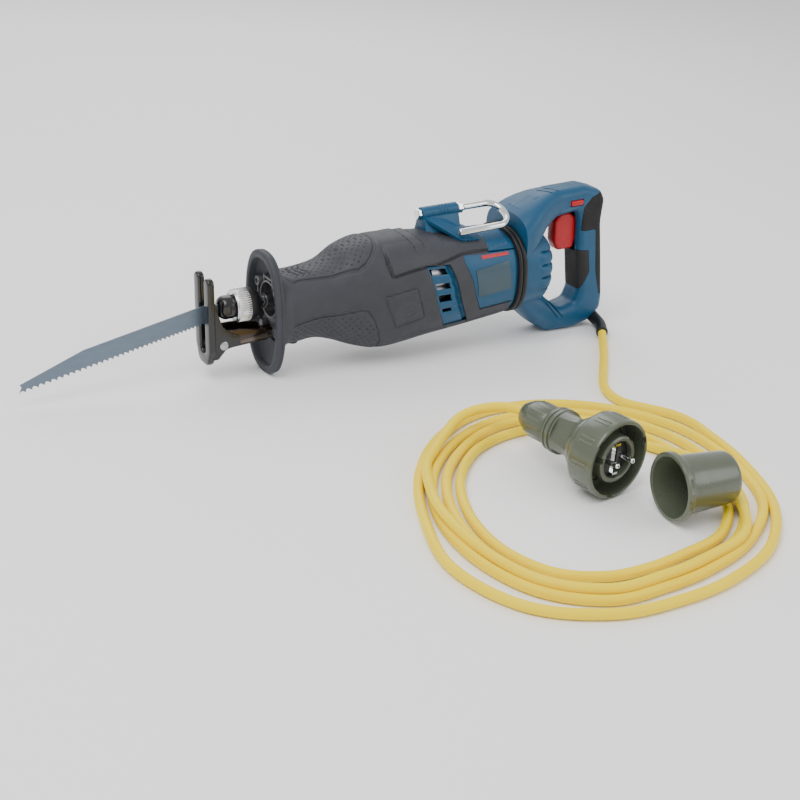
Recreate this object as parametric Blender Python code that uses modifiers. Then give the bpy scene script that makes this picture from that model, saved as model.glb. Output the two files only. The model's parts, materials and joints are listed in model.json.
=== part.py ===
"""Corded reciprocating saw with its lead and watertight plug, as separate pieces.

Two frames are used. The saw frame has its X axis on the plunger: x = 0 is the front face of the shoe, +X runs
back to the handle, z = 0 is the plunger's centre line. The floor frame is the world: the saw stands on the
lowest points of its collar and its handle, so the saw frame is pitched by SAW_PITCH. Lengths are in
millimetres and become metres through MM.
"""
import math

import bmesh
import bpy
from mathutils import Matrix, Vector

MM = 0.001

# ---- driving dimensions, saw frame ---------------------------------------------------------------------
SAW_PITCH = 3.0             # degrees, plunger axis against the floor when the saw stands
SAW_SHIFT = (-147.6, 71.17)  # x and z of the saw frame's origin in the floor frame
GAP = 0.3                   # clearance between touching pieces
SECTION_POWER = 2.5         # superellipse exponent of the body's cross-section
BODY_SIDES = 22

PLUNGER_R = 7.5
DRIVER_X = 165.0            # where the wobble arm holds the plunger
WOBBLE_X = 171.0            # centre of the wobble drive; the plunger is 6 mm ahead of mid stroke
JACK_Z = -34.0              # jackshaft axis
GEAR_R = 24.0
GEAR_FRONT, GEAR_BACK = 193.0, 201.5    # the plunger's end comes to 193 at the end of its stroke
PINION_R = 5.0
MOTOR_Z = JACK_Z + GEAR_R + PINION_R + GAP

BLADE_THICK = 1.3
BLADE_WIDTH = 19.3
BLADE_PITCH = 10.5          # degrees, droop of the blade against the plunger axis
BLADE_LENGTH = 198.0
SHOE_PIVOT = (16.0, -33.0)  # x, z of the rivet
SHOE_THICK = 7.0
COLLAR_BACK = 71.0
BOOT_END = 236.0
RUBBER = 3.2                # thickness of the boot
HOUSING_WALL = 2.6
MOTOR_END = 336.0
RING_END = 346.6
REAR_END = 386.0
HANDLE_HALF = 17.0          # half width of the handle
HOOK_AXIS = (8.0, 59.0)     # y, z of the hook's hinge
HOOK_WIRE = 7.0             # diameter
HOOK_SLOPE = 0.42           # how much the folded hook drops towards the near side
TRIGGER_PIVOT = (431.0, 39.0)

# body outline: x, centre z, half width, half height
BODY = [
    (74.0, -9.7, 34.0, 36.0), (90.0, -9.7, 33.5, 35.5), (110.0, -8.5, 33.8, 35.5), (130.0, -9.3, 36.5, 40.2),
    (150.0, -8.2, 40.8, 50.3), (168.0, -8.8, 42.6, 55.7), (185.0, -10.5, 43.0, 57.5),
    (205.0, -10.5, 43.0, 57.0), (236.0, -10.7, 43.0, 53.6), (270.0, -11.6, 43.0, 50.0),
    (320.0, -11.4, 42.6, 45.8), (345.0, -10.7, 41.8, 43.6), (372.0, -10.5, 40.5, 42.0),
    (386.0, -10.5, 37.0, 38.5),
]

# handle outlines, (x, z, corner radius)
HANDLE_OUTER = [(354.2, 20, 0), (354.2, 54.5, 0), (376, 63.5, 30), (398, 67, 40), (438, 67.5, 25),
                (458, 61, 12), (463.5, 50, 12), (461.0, 26, 40), (465.5, -14, 60), (470.5, -62, 14),
                (469.5, -76, 10), (454, -89, 12), (430, -93.8, 12), (398, -92.1, 16), (383, -82, 14),
                (354.2, -56, 0), (354.2, -30, 0)]
HANDLE_WINDOW = [(380, 24, 0), (400, 38, 14), (427, 41, 4), (430.5, 30, 14), (431.5, 4, 20),
                 (438, -52, 12), (433, -64, 8), (414, -68, 10), (395, -52, 16), (380, -36, 0)]
HANDLE_SCREWS = [(446.0, 57.0), (392.0, -76.0)]

# ---- driving dimensions, floor frame -------------------------------------------------------------------
CORD_D = 9.0
COIL_CENTRE = (56.4, -360.0)
COIL_LONG = 188.0           # half axes of the ellipse that the turns are laid from
COIL_SHORT = 150.0
COIL_TURN = 57.9            # degrees, direction of the ellipse's long axis
COIL_START = 300.0          # degrees round the ellipse, where the lead joins; it winds the other way
COIL_STEP = 24.0
# how far inside the ellipse the cord's centre line lies, every COIL_STEP of each turn
COIL_INWARD = [
    (-14.5, -8.0, 2.0, 15.0, 18.5, 6.0, -10.0, -11.0, 0.5, 1.2, -3.0, -8.7, -8.0, -9.0, -11.0),
    (-4.7, 1.0, 19.5, 35.0, 38.5, 25.0, 15.6, 14.0, 13.0, 13.0, 12.9, 12.0, 12.0, 11.0, 11.0),
    (14.5, 18.5, 29.5, 48.0, 52.0, 41.0, 29.5, 28.0, 27.0, 25.0, 24.5, 22.0, 24.0, 27.0, 33.0),
    (35.5, 33.0, 43.0, 62.0, 67.0, 60.0, 47.5, 41.5, 39.5, 37.0, 36.0, 40.0, 44.0, 45.0, 46.0),
]
COIL_HEIGHT = 16.0          # over the middle, where the last turn lies on the others
COIL_SINGLE = 9.2           # where one layer lies

PLUG_FACE = (80.4, -359.0, 36.4)
PLUG_HEADING = (0.17, -0.985, 0.0)
PLUG_R = 36.0
CAP_MOUTH = (96.9, -407.0, 30.6)
CAP_HEADING = (0.994, -0.10, 0.03)
# centre line of the free stretch of the lead, from the strain relief to the coil: x, y, height
RELIEF_ROUTE = [(315.4, -3.0, 16.0), (317.9, -8.0, 10.8), (317.3, -18.0, 8.6), (313.5, -31.0, 8.0),
                (307.7, -42.0, 7.5), (300.7, -52.5, 7.0)]
LEAD_ROUTE = [(300.3, -53.1, 6.9), (287.9, -71.5, 5.2), (266.4, -101.0, 4.8), (241.4, -133.0, 4.8),
              (219.9, -161.0, 4.8), (209.2, -184.0, 4.8), (209.4, -207.0, 4.8), (221.9, -226.0, 4.8),
              (236.9, -247.0, 4.8), (242.4, -270.0, 4.8), (240.5, -293.0, 4.8)]
TAIL_ROUTE = [(61.1, -247.6, 36.2), (59.0, -236.0, 35.6), (53.5, -224.0, 33.5), (43.0, -213.3, 29.8),
              (29.5, -207.3, 25.6), (14.5, -208.5, 21.4)]

COLOURS = {  # colour, roughness, metallic
    "steel_blade": ((0.30, 0.36, 0.42, 1), 0.35, 0.9),
    "bright_steel": ((0.75, 0.75, 0.76, 1), 0.18, 1.0),
    "steel": ((0.50, 0.50, 0.52, 1), 0.35, 1.0),
    "black_steel": ((0.03, 0.028, 0.027, 1), 0.3, 0.6),
    "brown_steel": ((0.06, 0.04, 0.03, 1), 0.25, 0.7),
    "aluminium": ((0.55, 0.56, 0.57, 1), 0.45, 1.0),
    "rubber": ((0.05, 0.053, 0.062, 1), 0.6, 0.0),
    "soft_black": ((0.02, 0.02, 0.022, 1), 0.7, 0.0),
    "blue": ((0.012, 0.10, 0.19, 1), 0.4, 0.0),
    "red": ((0.62, 0.01, 0.02, 1), 0.3, 0.0),
    "copper": ((0.60, 0.25, 0.12, 1), 0.35, 1.0),
    "brass": ((0.60, 0.45, 0.18, 1), 0.35, 1.0),
    "dark_plastic": ((0.03, 0.03, 0.033, 1), 0.5, 0.0),
    "yellow": ((0.95, 0.72, 0.0, 1), 0.4, 0.0),
    "olive": ((0.09, 0.11, 0.075, 1), 0.35, 0.0),
}


def clear_scene():
    for old in list(bpy.data.objects):
        bpy.data.objects.remove(old, do_unlink=True)


clear_scene()
PARTS = bpy.data.collections.new("reciprocating_saw")
CUTTERS = bpy.data.collections.new("cutters")
bpy.context.scene.collection.children.link(PARTS)
bpy.context.scene.collection.children.link(CUTTERS)


# ---- helpers -------------------------------------------------------------------------------------------
def make_empty(name, parent=None):
    empty = bpy.data.objects.new(name, None)
    PARTS.objects.link(empty)
    empty.parent = parent
    return empty


SAW = make_empty("saw_frame")
SAW.location = (SAW_SHIFT[0] * MM, 0.0, SAW_SHIFT[1] * MM)
SAW.rotation_euler = (0.0, -math.radians(SAW_PITCH), 0.0)


def material(colour):
    found = bpy.data.materials.get(colour)
    if found:
        return found
    base, rough, metal = COLOURS[colour]
    made = bpy.data.materials.new(colour)
    made.use_nodes = True
    shader = made.node_tree.nodes["Principled BSDF"]
    shader.inputs["Base Color"].default_value = base
    shader.inputs["Roughness"].default_value = rough
    shader.inputs["Metallic"].default_value = metal
    made.diffuse_color = base
    return made


def piece(name, mesh, colour, origin=(0.0, 0.0, 0.0), parent=SAW):
    """An object whose mesh is given in its frame's metres, with its own origin (mm) moved to `origin`."""
    point = Vector(origin) * MM
    mesh.transform(Matrix.Translation(-point))
    mesh.materials.clear()
    mesh.materials.append(material(colour))
    obj = bpy.data.objects.new(name, mesh)
    obj.parent = parent
    obj.location = point
    PARTS.objects.link(obj)
    mesh.shade_smooth()
    mesh.set_sharp_from_angle(angle=math.radians(35))
    return obj


def cutter(mesh, parent=SAW):
    obj = bpy.data.objects.new("cutter", mesh)
    obj.parent = parent
    obj.hide_render = True
    obj.display_type = "WIRE"
    CUTTERS.objects.link(obj)
    return obj


def boolean(obj, mesh, operation, parent=SAW):
    tool = obj.modifiers.new(operation.lower(), "BOOLEAN")
    tool.operation = operation
    tool.solver = "EXACT"
    tool.object = cutter(mesh, parent)


def cut(obj, *meshes, parent=SAW):
    for mesh in meshes:
        boolean(obj, mesh, "DIFFERENCE", parent)


def unite(obj, *meshes, parent=SAW):
    for mesh in meshes:
        boolean(obj, mesh, "UNION", parent)


def to_mesh(bm, name="shape"):
    mesh = bpy.data.meshes.new(name)
    bm.to_mesh(mesh)
    bm.free()
    return mesh


def box(x0, x1, y0, y1, z0, z1, bevel=0.0):
    bm = bmesh.new()
    bmesh.ops.create_cube(bm, size=1.0)
    bmesh.ops.scale(bm, verts=bm.verts, vec=((x1 - x0) * MM, (y1 - y0) * MM, (z1 - z0) * MM))
    bmesh.ops.translate(bm, verts=bm.verts,
                        vec=((x0 + x1) / 2 * MM, (y0 + y1) / 2 * MM, (z0 + z1) / 2 * MM))
    if bevel:
        bmesh.ops.bevel(bm, geom=bm.edges[:], offset=bevel * MM, segments=2, affect="EDGES", profile=0.6)
    return to_mesh(bm)


def aim(start, heading):
    """Matrix taking local +Z onto `heading`, with local +X kept level, and the origin to `start` (mm)."""
    z = Vector(heading).normalized()
    side = Vector((0, 0, 1)).cross(z)
    x = side.normalized() if side.length > 1e-6 else Vector((1, 0, 0))
    y = z.cross(x)
    return Matrix.Translation(Vector(start) * MM) @ Matrix((x, y, z)).transposed().to_4x4()


def rod(radius, start, heading, length, sides=24, tip_radius=None):
    bm = bmesh.new()
    bmesh.ops.create_cone(bm, cap_ends=True, segments=sides, radius1=radius * MM,
                          radius2=(radius if tip_radius is None else tip_radius) * MM, depth=length * MM)
    bmesh.ops.translate(bm, verts=bm.verts, vec=(0, 0, length / 2 * MM))
    bmesh.ops.transform(bm, matrix=aim(start, heading), verts=bm.verts)
    return to_mesh(bm)


def along_x(radius, x0, x1, y=0.0, z=0.0, sides=24, tip_radius=None):
    return rod(radius, (x0, y, z), (1, 0, 0), x1 - x0, sides, tip_radius)


def turned(profile, start, heading, sides=20):
    """Turned mesh from (radius, distance along heading) pairs running down the outer side, far end first.

    A profile that starts and ends on the axis is solid; any other is closed into a ring.
    """
    ring = profile[0][0] > 0
    bm = bmesh.new()
    verts = [bm.verts.new((r * MM, 0, h * MM)) for r, h in profile]
    for first, second in zip(verts, verts[1:]):
        bm.edges.new((first, second))
    if ring:
        bm.edges.new((verts[-1], verts[0]))
    obj = bpy.data.objects.new("profile", to_mesh(bm))
    bpy.context.scene.collection.objects.link(obj)
    screw = obj.modifiers.new("turn", "SCREW")
    screw.steps = sides
    screw.render_steps = sides
    screw.use_merge_vertices = True
    screw.merge_threshold = 0.00001
    mesh = evaluated(obj)
    mesh.transform(aim(start, heading))
    return mesh


def ring(inner, outer, start, heading, length, sides=18):
    return turned([(outer, length), (outer, 0), (inner, 0), (inner, length)], start, heading, sides)


def evaluated(obj, weld=False):
    """The evaluated mesh of a helper object, in its own frame; the helper is removed."""
    graph = bpy.context.evaluated_depsgraph_get()
    graph.update()
    mesh = bpy.data.meshes.new_from_object(obj.evaluated_get(graph))
    if weld:
        bm = bmesh.new()
        bm.from_mesh(mesh)
        bmesh.ops.remove_doubles(bm, verts=bm.verts, dist=0.000002)
        bmesh.ops.recalc_face_normals(bm, faces=bm.faces)
        bm.to_mesh(mesh)
        bm.free()
    mesh.transform(obj.matrix_world)
    bpy.data.objects.remove(obj, do_unlink=True)
    return mesh


def rounded(corners, steps=4):
    """Outline with a round of radius r at each corner (a, b, r)."""
    points = []
    count = len(corners)
    for i, (a, b, r) in enumerate(corners):
        here = Vector((a, b))
        before = Vector(corners[i - 1][:2]) - here
        after = Vector(corners[(i + 1) % count][:2]) - here
        if r <= 0:
            points.append(here)
            continue
        half = before.angle(after) / 2
        reach = min(r / math.tan(half), before.length * 0.48, after.length * 0.48)
        radius = reach * math.tan(half)
        centre = here + (before.normalized() + after.normalized()).normalized() * (radius / math.sin(half))
        first = here + before.normalized() * reach - centre
        last = here + after.normalized() * reach - centre
        sweep = math.atan2(first.x * last.y - first.y * last.x, first.dot(last))
        for k in range(steps + 1):
            turn = Matrix.Rotation(sweep * k / steps, 2)
            points.append(centre + turn @ first)
    return points


PLANES = {"XZ": Matrix.Rotation(math.pi / 2, 4, "X"),
          "YZ": Matrix.Rotation(math.pi / 2, 4, "Z") @ Matrix.Rotation(math.pi / 2, 4, "X")}


def wound(outline, clockwise):
    """The outline's points in the asked direction round."""
    area = sum(a[0] * b[1] - b[0] * a[1] for a, b in zip(outline, outline[1:] + outline[:1]))
    return outline[::-1] if (area < 0) != clockwise else outline


def slab(outlines, plane, low, high, edge=0.0, edge_steps=0):
    """Flat solid: outlines in the plane, from `low` to `high` across it, edges rounded by `edge`.

    The first outline is the outside and any others are holes.

    The thickness runs along Y for the XZ plane and along X for the YZ plane.
    """
    curve = bpy.data.curves.new("outline", "CURVE")
    curve.dimensions = "2D"
    curve.fill_mode = "BOTH"
    curve.extrude = ((high - low) / 2 - edge) * MM
    curve.bevel_depth = edge * MM
    curve.bevel_resolution = edge_steps
    curve.offset = -edge * MM
    for number, outline in enumerate(outlines):
        outline = wound(list(outline), clockwise=number > 0)
        spline = curve.splines.new("POLY")
        spline.points.add(len(outline) - 1)
        for point, (a, b) in zip(spline.points, outline):
            point.co = (a * MM, b * MM, 0, 1)
        spline.use_cyclic_u = True
    obj = bpy.data.objects.new("outline", curve)
    bpy.context.scene.collection.objects.link(obj)
    mesh = evaluated(obj, weld=True)
    mesh.transform(PLANES[plane])
    middle = (low + high) / 2 * MM
    mesh.transform(Matrix.Translation((0, middle, 0) if plane == "XZ" else (middle, 0, 0)))
    return mesh


def smooth_path(route, per_span=4):
    """Points of a Catmull-Rom curve through the route."""
    knots = [Vector(p) for p in route]
    knots = [knots[0] * 2 - knots[1]] + knots + [knots[-1] * 2 - knots[-2]]
    points = []
    for a, b, c, d in zip(knots, knots[1:], knots[2:], knots[3:]):
        for k in range(per_span):
            t = k / per_span
            points.append(0.5 * (2 * b + (c - a) * t + (2 * a - 5 * b + 4 * c - d) * t * t
                                 + (3 * b - a - 3 * c + d) * t ** 3))
    points.append(knots[-2])
    return points


def tube(points, radii, resolution=3):
    """Round tube through the points (mm); radii is one number or one for each point."""
    curve = bpy.data.curves.new("tube", "CURVE")
    curve.dimensions = "3D"
    curve.bevel_depth = MM
    curve.bevel_resolution = resolution
    curve.use_fill_caps = True
    spline = curve.splines.new("POLY")
    spline.points.add(len(points) - 1)
    for i, point in enumerate(points):
        spline.points[i].co = (*(Vector(point) * MM), 1)
        spline.points[i].radius = radii if isinstance(radii, (int, float)) else radii[i]
    obj = bpy.data.objects.new("tube", curve)
    bpy.context.scene.collection.objects.link(obj)
    return evaluated(obj, weld=True)


def body_section(x):
    """Centre z, half width and half height of the body at x, on a smooth curve through BODY."""
    rows = [BODY[0]] + BODY + [BODY[-1]]
    for a, b, c, d in zip(rows, rows[1:], rows[2:], rows[3:]):
        if x <= c[0] or c is BODY[-1]:
            break
    t = (x - b[0]) / (c[0] - b[0])
    values = []
    for k in (1, 2, 3):
        slope_b = (c[k] - a[k]) / max(c[0] - a[0], 1.0) * (c[0] - b[0])
        slope_c = (d[k] - b[k]) / max(d[0] - b[0], 1.0) * (c[0] - b[0])
        values.append((2 * t ** 3 - 3 * t * t + 1) * b[k] + (t ** 3 - 2 * t * t + t) * slope_b
                      + (3 * t * t - 2 * t ** 3) * c[k] + (t ** 3 - t * t) * slope_c)
    return values


def superellipse(centre_z, half_w, half_h, power=SECTION_POWER, sides=BODY_SIDES):
    points = []
    for k in range(sides):
        t = 2 * math.pi * k / sides
        c, s = math.cos(t), math.sin(t)
        points.append((half_w * math.copysign(abs(c) ** (2 / power), c),
                       centre_z + half_h * math.copysign(abs(s) ** (2 / power), s)))
    return points


def loft(stations, capped=True, sides=BODY_SIDES):
    """Mesh through superellipse stations (x, centre z, half width, half height), facing out."""
    bm = bmesh.new()
    rings = []
    for x, *section in stations:
        rings.append([bm.verts.new((x * MM, y * MM, z * MM)) for y, z in superellipse(*section, sides=sides)])
    for low, high in zip(rings, rings[1:]):
        for k in range(sides):
            j = (k + 1) % sides
            bm.faces.new((low[k], low[j], high[j], high[k]))
    if capped:
        bm.faces.new(rings[0][::-1])
        bm.faces.new(rings[-1])
    return to_mesh(bm)


def body_stations(x0, x1, inset, step=22.0):
    """Stations of the body's outline from x0 to x1, moved inwards by inset."""
    count = max(2, round((x1 - x0) / step))
    stations = []
    for i in range(count + 1):
        x = x0 + (x1 - x0) * i / count
        centre_z, half_w, half_h = body_section(x)
        stations.append((x, centre_z, half_w - inset, half_h - inset))
    return stations


def hollow(obj, wall):
    """Gives an open surface its thickness, inwards."""
    solidify = obj.modifiers.new("wall", "SOLIDIFY")
    solidify.thickness = wall * MM
    solidify.offset = -1.0
    solidify.use_even_offset = True


def local_point(frame_start, heading, side, up, along):
    """Point beside an aimed axis: `side` level, `up` square to it, `along` the heading (mm)."""
    return (aim(frame_start, heading) @ Vector((side * MM, up * MM, along * MM))) / MM


# ---- blade, chuck and plunger --------------------------------------------------------------------------
def blade_outline():
    """Tang, back, taper and toothed edge, in the saw frame's XZ plane."""
    lean = math.radians(BLADE_PITCH)
    back = Vector((-math.cos(lean), -math.sin(lean)))
    down = Vector((math.sin(lean), -math.cos(lean)))
    root = Vector((9.0, 6.9))

    def at(run, drop):
        return root + back * run + down * drop

    points = [Vector((35.0, 4.2)), Vector((9.5, 4.2)), at(0, 0), at(129, 0), at(194, 11.0), at(192.5, 13.5),
              at(195, 17.5), at(BLADE_LENGTH - 1.5, BLADE_WIDTH)]
    teeth = 27
    run = BLADE_LENGTH - 1.5
    for k in range(teeth):
        pitch = 8.3 - 3.2 * k / (teeth - 1)
        points.append(at(run - pitch * 0.34, BLADE_WIDTH - 3.0 + 0.8 * k / teeth))
        run -= pitch
        points.append(at(run, BLADE_WIDTH))
    points += [at(4, BLADE_WIDTH), at(0, BLADE_WIDTH - 4), Vector((10.0, -5.0)), Vector((35.0, -5.0))]
    return points


def make_blade():
    half = BLADE_THICK / 2
    piece("blade", slab([blade_outline()], "XZ", -half, half), "steel_blade", (24.0, 0, 0))


def make_chuck():
    nose = [(0, 57), (10.5, 57), (10.5, 31.4), (11.6, 30.6), (11.6, 21), (9.0, 17.4), (5.5, 16.6), (0, 16.6)]
    body = piece("chuck_body", turned(nose, (0, 0, 0), (1, 0, 0)), "black_steel", (24.0, 0, 0))
    cut(body, box(10, 36, -BLADE_THICK / 2 - GAP, BLADE_THICK / 2 + GAP, -6.0, 5.0))
    knurled = [(10.9, 46.6), (15.6, 46.6), (16.5, 45.8), (16.5, 32.4), (15.6, 31.6), (10.9, 31.6)]
    piece("chuck_sleeve", turned(knurled, (0, 0, 0), (1, 0, 0), 24), "bright_steel", (39.0, 0, 0))
    rear = [(10.9, 57), (12.8, 57), (15.6, 52), (15.8, 46.9), (10.9, 46.9)]
    piece("chuck_rear_ring", turned(rear, (0, 0, 0), (1, 0, 0)), "black_steel", (52.0, 0, 0))


def make_plunger():
    start = 57.0 + GAP
    plunger = piece("plunger", along_x(PLUNGER_R, start, DRIVER_X + 8.0, sides=32), "bright_steel",
                    (start, 0, 0))
    cut(plunger, box(DRIVER_X - 5.0, DRIVER_X + 5.0, -4.2, 4.2, -9.0, 4.6))


# ---- shoe ----------------------------------------------------------------------------------------------
def make_shoe():
    px, pz = SHOE_PIVOT
    half = 17.5
    slot = 5.6
    top = 36.5
    outline = rounded([
        (-half, top, 5), (-slot, top, 4), (-slot, -42, 5), (slot, -42, 5), (slot, top, 4), (half, top, 5),
        (half, -36, 10), (10.5, -54, 8), (-10.5, -54, 8), (-half, -36, 10)], 3)
    plate = piece("shoe_plate", slab([outline], "YZ", 0, SHOE_THICK, 1.2), "black_steel", (px, 0, pz))
    cheek = rounded([(5.5, 12, 0), (8.2, 12, 2), (12, -8, 8), (22, -20, 8), (33, -26, 2), (33, -35, 2),
                     (18.5, -37.5, 4), (9, -46.5, 2), (5.5, -46.5, 0)], 3)
    for side in (-1, 1):
        low, high = sorted((side * 12.6, side * 14.8))
        unite(plate, slab([cheek], "XZ", low, high))
    cut(plate, rod(2.9, (px, -20, pz), (0, 1, 0), 40, 16))

    low_cheek = rounded([(11, -26, 4), (20, -20, 5), (30, -22, 4), (64, -26, 2), (64, -36, 2), (22, -38, 3),
                         (11, -40, 5)], 3)
    bracket = piece("shoe_bracket", slab([low_cheek], "XZ", -12.2, 12.2), "brown_steel", (70, 0, pz))
    cut(bracket, box(5, 80, -10.0, 10.0, -34.2, -10))
    unite(bracket, box(50, 118, -12.2, 12.2, -35.0, -31.0))
    cut(bracket, rod(2.9, (px, -20, pz), (0, 1, 0), 40, 16))
    piece("shoe_rivet", rod(2.6, (px, -16.0, pz), (0, 1, 0), 32, 16), "steel", (px, 0, pz))
    piece("shoe_release", turned([(0, 11), (3.2, 11), (3.2, 3.2), (5.0, 3.0), (5.0, 0.8), (4.2, 0), (0, 0)],
                                 (96, 0, -50.5), (0, 0, 1), 20), "soft_black", (96, 0, -46))


# ---- front: boot, gear case and what they hold ---------------------------------------------------------
def make_front():
    collar = [(62.0, -12.4, 35.5, 61.0), (64.0, -12.4, 37.0, 62.7), (COLLAR_BACK - 1.5, -12.4, 37.0, 62.7),
              (COLLAR_BACK, -12.2, 36.0, 60.5), (73.5, -10.4, 34.3, 40.5)]
    boot = piece("nose_boot", loft(collar + body_stations(78.0, BOOT_END, 0.0)), "rubber")
    recess = loft([(50.0, -12.4, 29.5, 54.0), (68.0, -12.4, 29.5, 54.0), (74.0, -10.5, 29.0, 33.0)])
    lining = body_stations(74.0, BOOT_END - GAP, RUBBER)
    bore = loft([(73.0, *lining[0][1:])] + lining + [(BOOT_END + 10.0, *lining[-1][1:])])
    cut(boot, recess, bore)
    cut(boot, rod(5.4, (96, 0, -60), (0, 0, 1), 25, 20))

    case = piece("gear_case", loft(body_stations(74.0, 184.0, RUBBER + HOUSING_WALL + 6 * GAP)), "aluminium")
    inner = RUBBER + HOUSING_WALL + 6 * GAP + 3.0
    cut(case, loft(body_stations(82.0, 122.0, inner)), loft(body_stations(140.0, 196.0, inner)))
    cut(case, along_x(16.8, 60, 79.5, sides=28), along_x(11.0, 60, 150, sides=28))
    cut(case, box(60, 121, -12.7, 12.7, -35.3, -30.4))
    cut(case, rod(5.4, (96, 0, -60), (0, 0, 1), 25, 20))
    cut(case, along_x(5.6, 118, 150, z=JACK_Z, sides=20))

    piece("plunger_seal", ring(PLUNGER_R + GAP, 10.6, (79.8, 0, 0), (1, 0, 0), 4.0), "soft_black")
    piece("front_bush", ring(PLUNGER_R + GAP, 10.6, (84.2, 0, 0), (1, 0, 0), 14.0), "brass")
    piece("rear_bush", ring(PLUNGER_R + GAP, 10.6, (124.0, 0, 0), (1, 0, 0), 15.0), "brass")


def gear_outline(radius, teeth, depth):
    points = []
    for k in range(teeth):
        for part, out in ((0.0, 1), (0.28, 1), (0.5, 0), (0.78, 0)):
            t = 2 * math.pi * (k + part) / teeth
            r = radius - (0 if out else depth)
            points.append((r * math.cos(t), r * math.sin(t)))
    return points


def make_drive():
    at = (0, 0, JACK_Z)
    ball = [(11.6 * math.cos(math.radians(t)), WOBBLE_X + 11.6 * math.sin(math.radians(t)))
            for t in range(60, -61, -20)]
    shaft = [(0, 214), (4.6, 214), (4.6, ball[0][1])] + ball + [(4.6, ball[-1][1]), (4.6, 126), (0, 126)]
    piece("jackshaft", turned(shaft, at, (1, 0, 0), 20), "steel", (170, 0, JACK_Z))
    piece("jackshaft_bearing_front", ring(4.9, 9.6, (141.5, 0, JACK_Z), (1, 0, 0), 7.0), "steel")
    piece("jackshaft_bearing_rear", ring(4.9, 9.6, (206, 0, JACK_Z), (1, 0, 0), 7.0), "steel")
    wheel = slab([[(y, z + JACK_Z) for y, z in gear_outline(GEAR_R, 24, 2.6)]], "YZ", GEAR_FRONT, GEAR_BACK)
    gear = piece("drive_gear", wheel, "steel", (GEAR_FRONT, 0, JACK_Z))
    cut(gear, along_x(4.9, 180, 210, z=JACK_Z, sides=20))

    lean = Vector((DRIVER_X - WOBBLE_X, 0, -JACK_Z))
    square = Vector((-JACK_Z, 0, WOBBLE_X - DRIVER_X))
    centre = (WOBBLE_X, 0, JACK_Z)
    band = [(16.5, 4.0), (16.5, -4.0), (12.0, -4.0), (12.0, 4.0)]
    wobble = piece("wobble_arm", turned(band, centre, square, 20), "steel", centre)
    foot = Vector(centre) + lean.normalized() * 14.5
    unite(wobble, rod(2.2, foot, lean, lean.length - 14.5, 16))
    bm = bmesh.new()
    bmesh.ops.create_uvsphere(bm, u_segments=12, v_segments=8, radius=3.6 * MM)
    bmesh.ops.translate(bm, verts=bm.verts, vec=(DRIVER_X * MM, 0, 0.0))
    unite(wobble, to_mesh(bm))


# ---- motor ---------------------------------------------------------------------------------------------
def make_motor():
    pinion_end = 202.0
    shaft = [(0, 334), (3.6, 334), (3.6, pinion_end), (PINION_R, pinion_end), (PINION_R, GEAR_FRONT + 0.6),
             (0, GEAR_FRONT + 0.6)]
    piece("armature_shaft", turned(shaft, (0, 0, MOTOR_Z), (1, 0, 0), 20), "steel", (260, 0, MOTOR_Z))
    piece("armature_bearing_front", ring(3.9, 9.0, (204.5, 0, MOTOR_Z), (1, 0, 0), 7.0), "steel")
    piece("armature_bearing_rear", ring(3.9, 9.0, (325.5, 0, MOTOR_Z), (1, 0, 0), 7.0), "steel")
    hub = [(12, 12), (12, 2), (33, 2), (33, 0), (3.9, 0), (3.9, 12)]
    fan = piece("fan", turned(hub, (217, 0, MOTOR_Z), (1, 0, 0)), "dark_plastic", (220, 0, MOTOR_Z))
    blades = 6
    for k in range(blades):
        blade = box(218.0, 228.0, 9.0, 31.0, -0.8, 0.8)
        turn = Matrix.Rotation(2 * math.pi * (k + 0.13) / blades, 4, "X")
        blade.transform(Matrix.Translation((0, 0, MOTOR_Z * MM)) @ turn)
        unite(fan, blade)
    piece("armature_core", ring(3.9, 21.0, (240, 0, MOTOR_Z), (1, 0, 0), 48.0), "copper",
          (264, 0, MOTOR_Z))
    piece("commutator", ring(3.9, 12.0, (298, 0, MOTOR_Z), (1, 0, 0), 18.0), "copper", (307, 0, MOTOR_Z))
    piece("stator", ring(21.8, 33.0, (238, 0, MOTOR_Z), (1, 0, 0), 52.0, 32), "steel")
    for name, side in (("brush_left", -1), ("brush_right", 1)):
        low, high = sorted((side * 12.6, side * 30.0))
        piece(name, box(302, 312, low, high, MOTOR_Z - 3.5, MOTOR_Z + 3.5), "brass")


def window(x0, x1, z0, z1, side):
    """Box reaching through one side wall of the housing."""
    low, high = sorted((side * 25.0, side * 60.0))
    return box(x0, x1, low, high, z0, z1)


def make_housing():
    housing = piece("motor_housing",
                    loft(body_stations(74.0, BOOT_END + GAP, RUBBER + GAP)
                         + body_stations(BOOT_END + 2 * GAP, MOTOR_END, 0.9), capped=False), "blue")
    hollow(housing, HOUSING_WALL)
    for side in (-1, 1):
        cut(housing, window(240.0, 262.0, -44.0, 20.0, side))
    cut(housing, rod(5.4, (96, 0, -60), (0, 0, 1), 25, 20))
    for name, side in (("vent_insert_left", -1), ("vent_insert_right", 1)):
        insert = piece(name, loft(body_stations(236.5, 266.0, 1.0), capped=False), "blue")
        hollow(insert, HOUSING_WALL)
        boolean(insert, window(240.0 + GAP, 262.0 - GAP, -44.0 + GAP, 20.0 - GAP, side), "INTERSECT")
        for k in range(4):
            top = 15.5 - 15.4 * k
            cut(insert, window(243.5, 258.5, top - 8.0, top, side))


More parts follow.
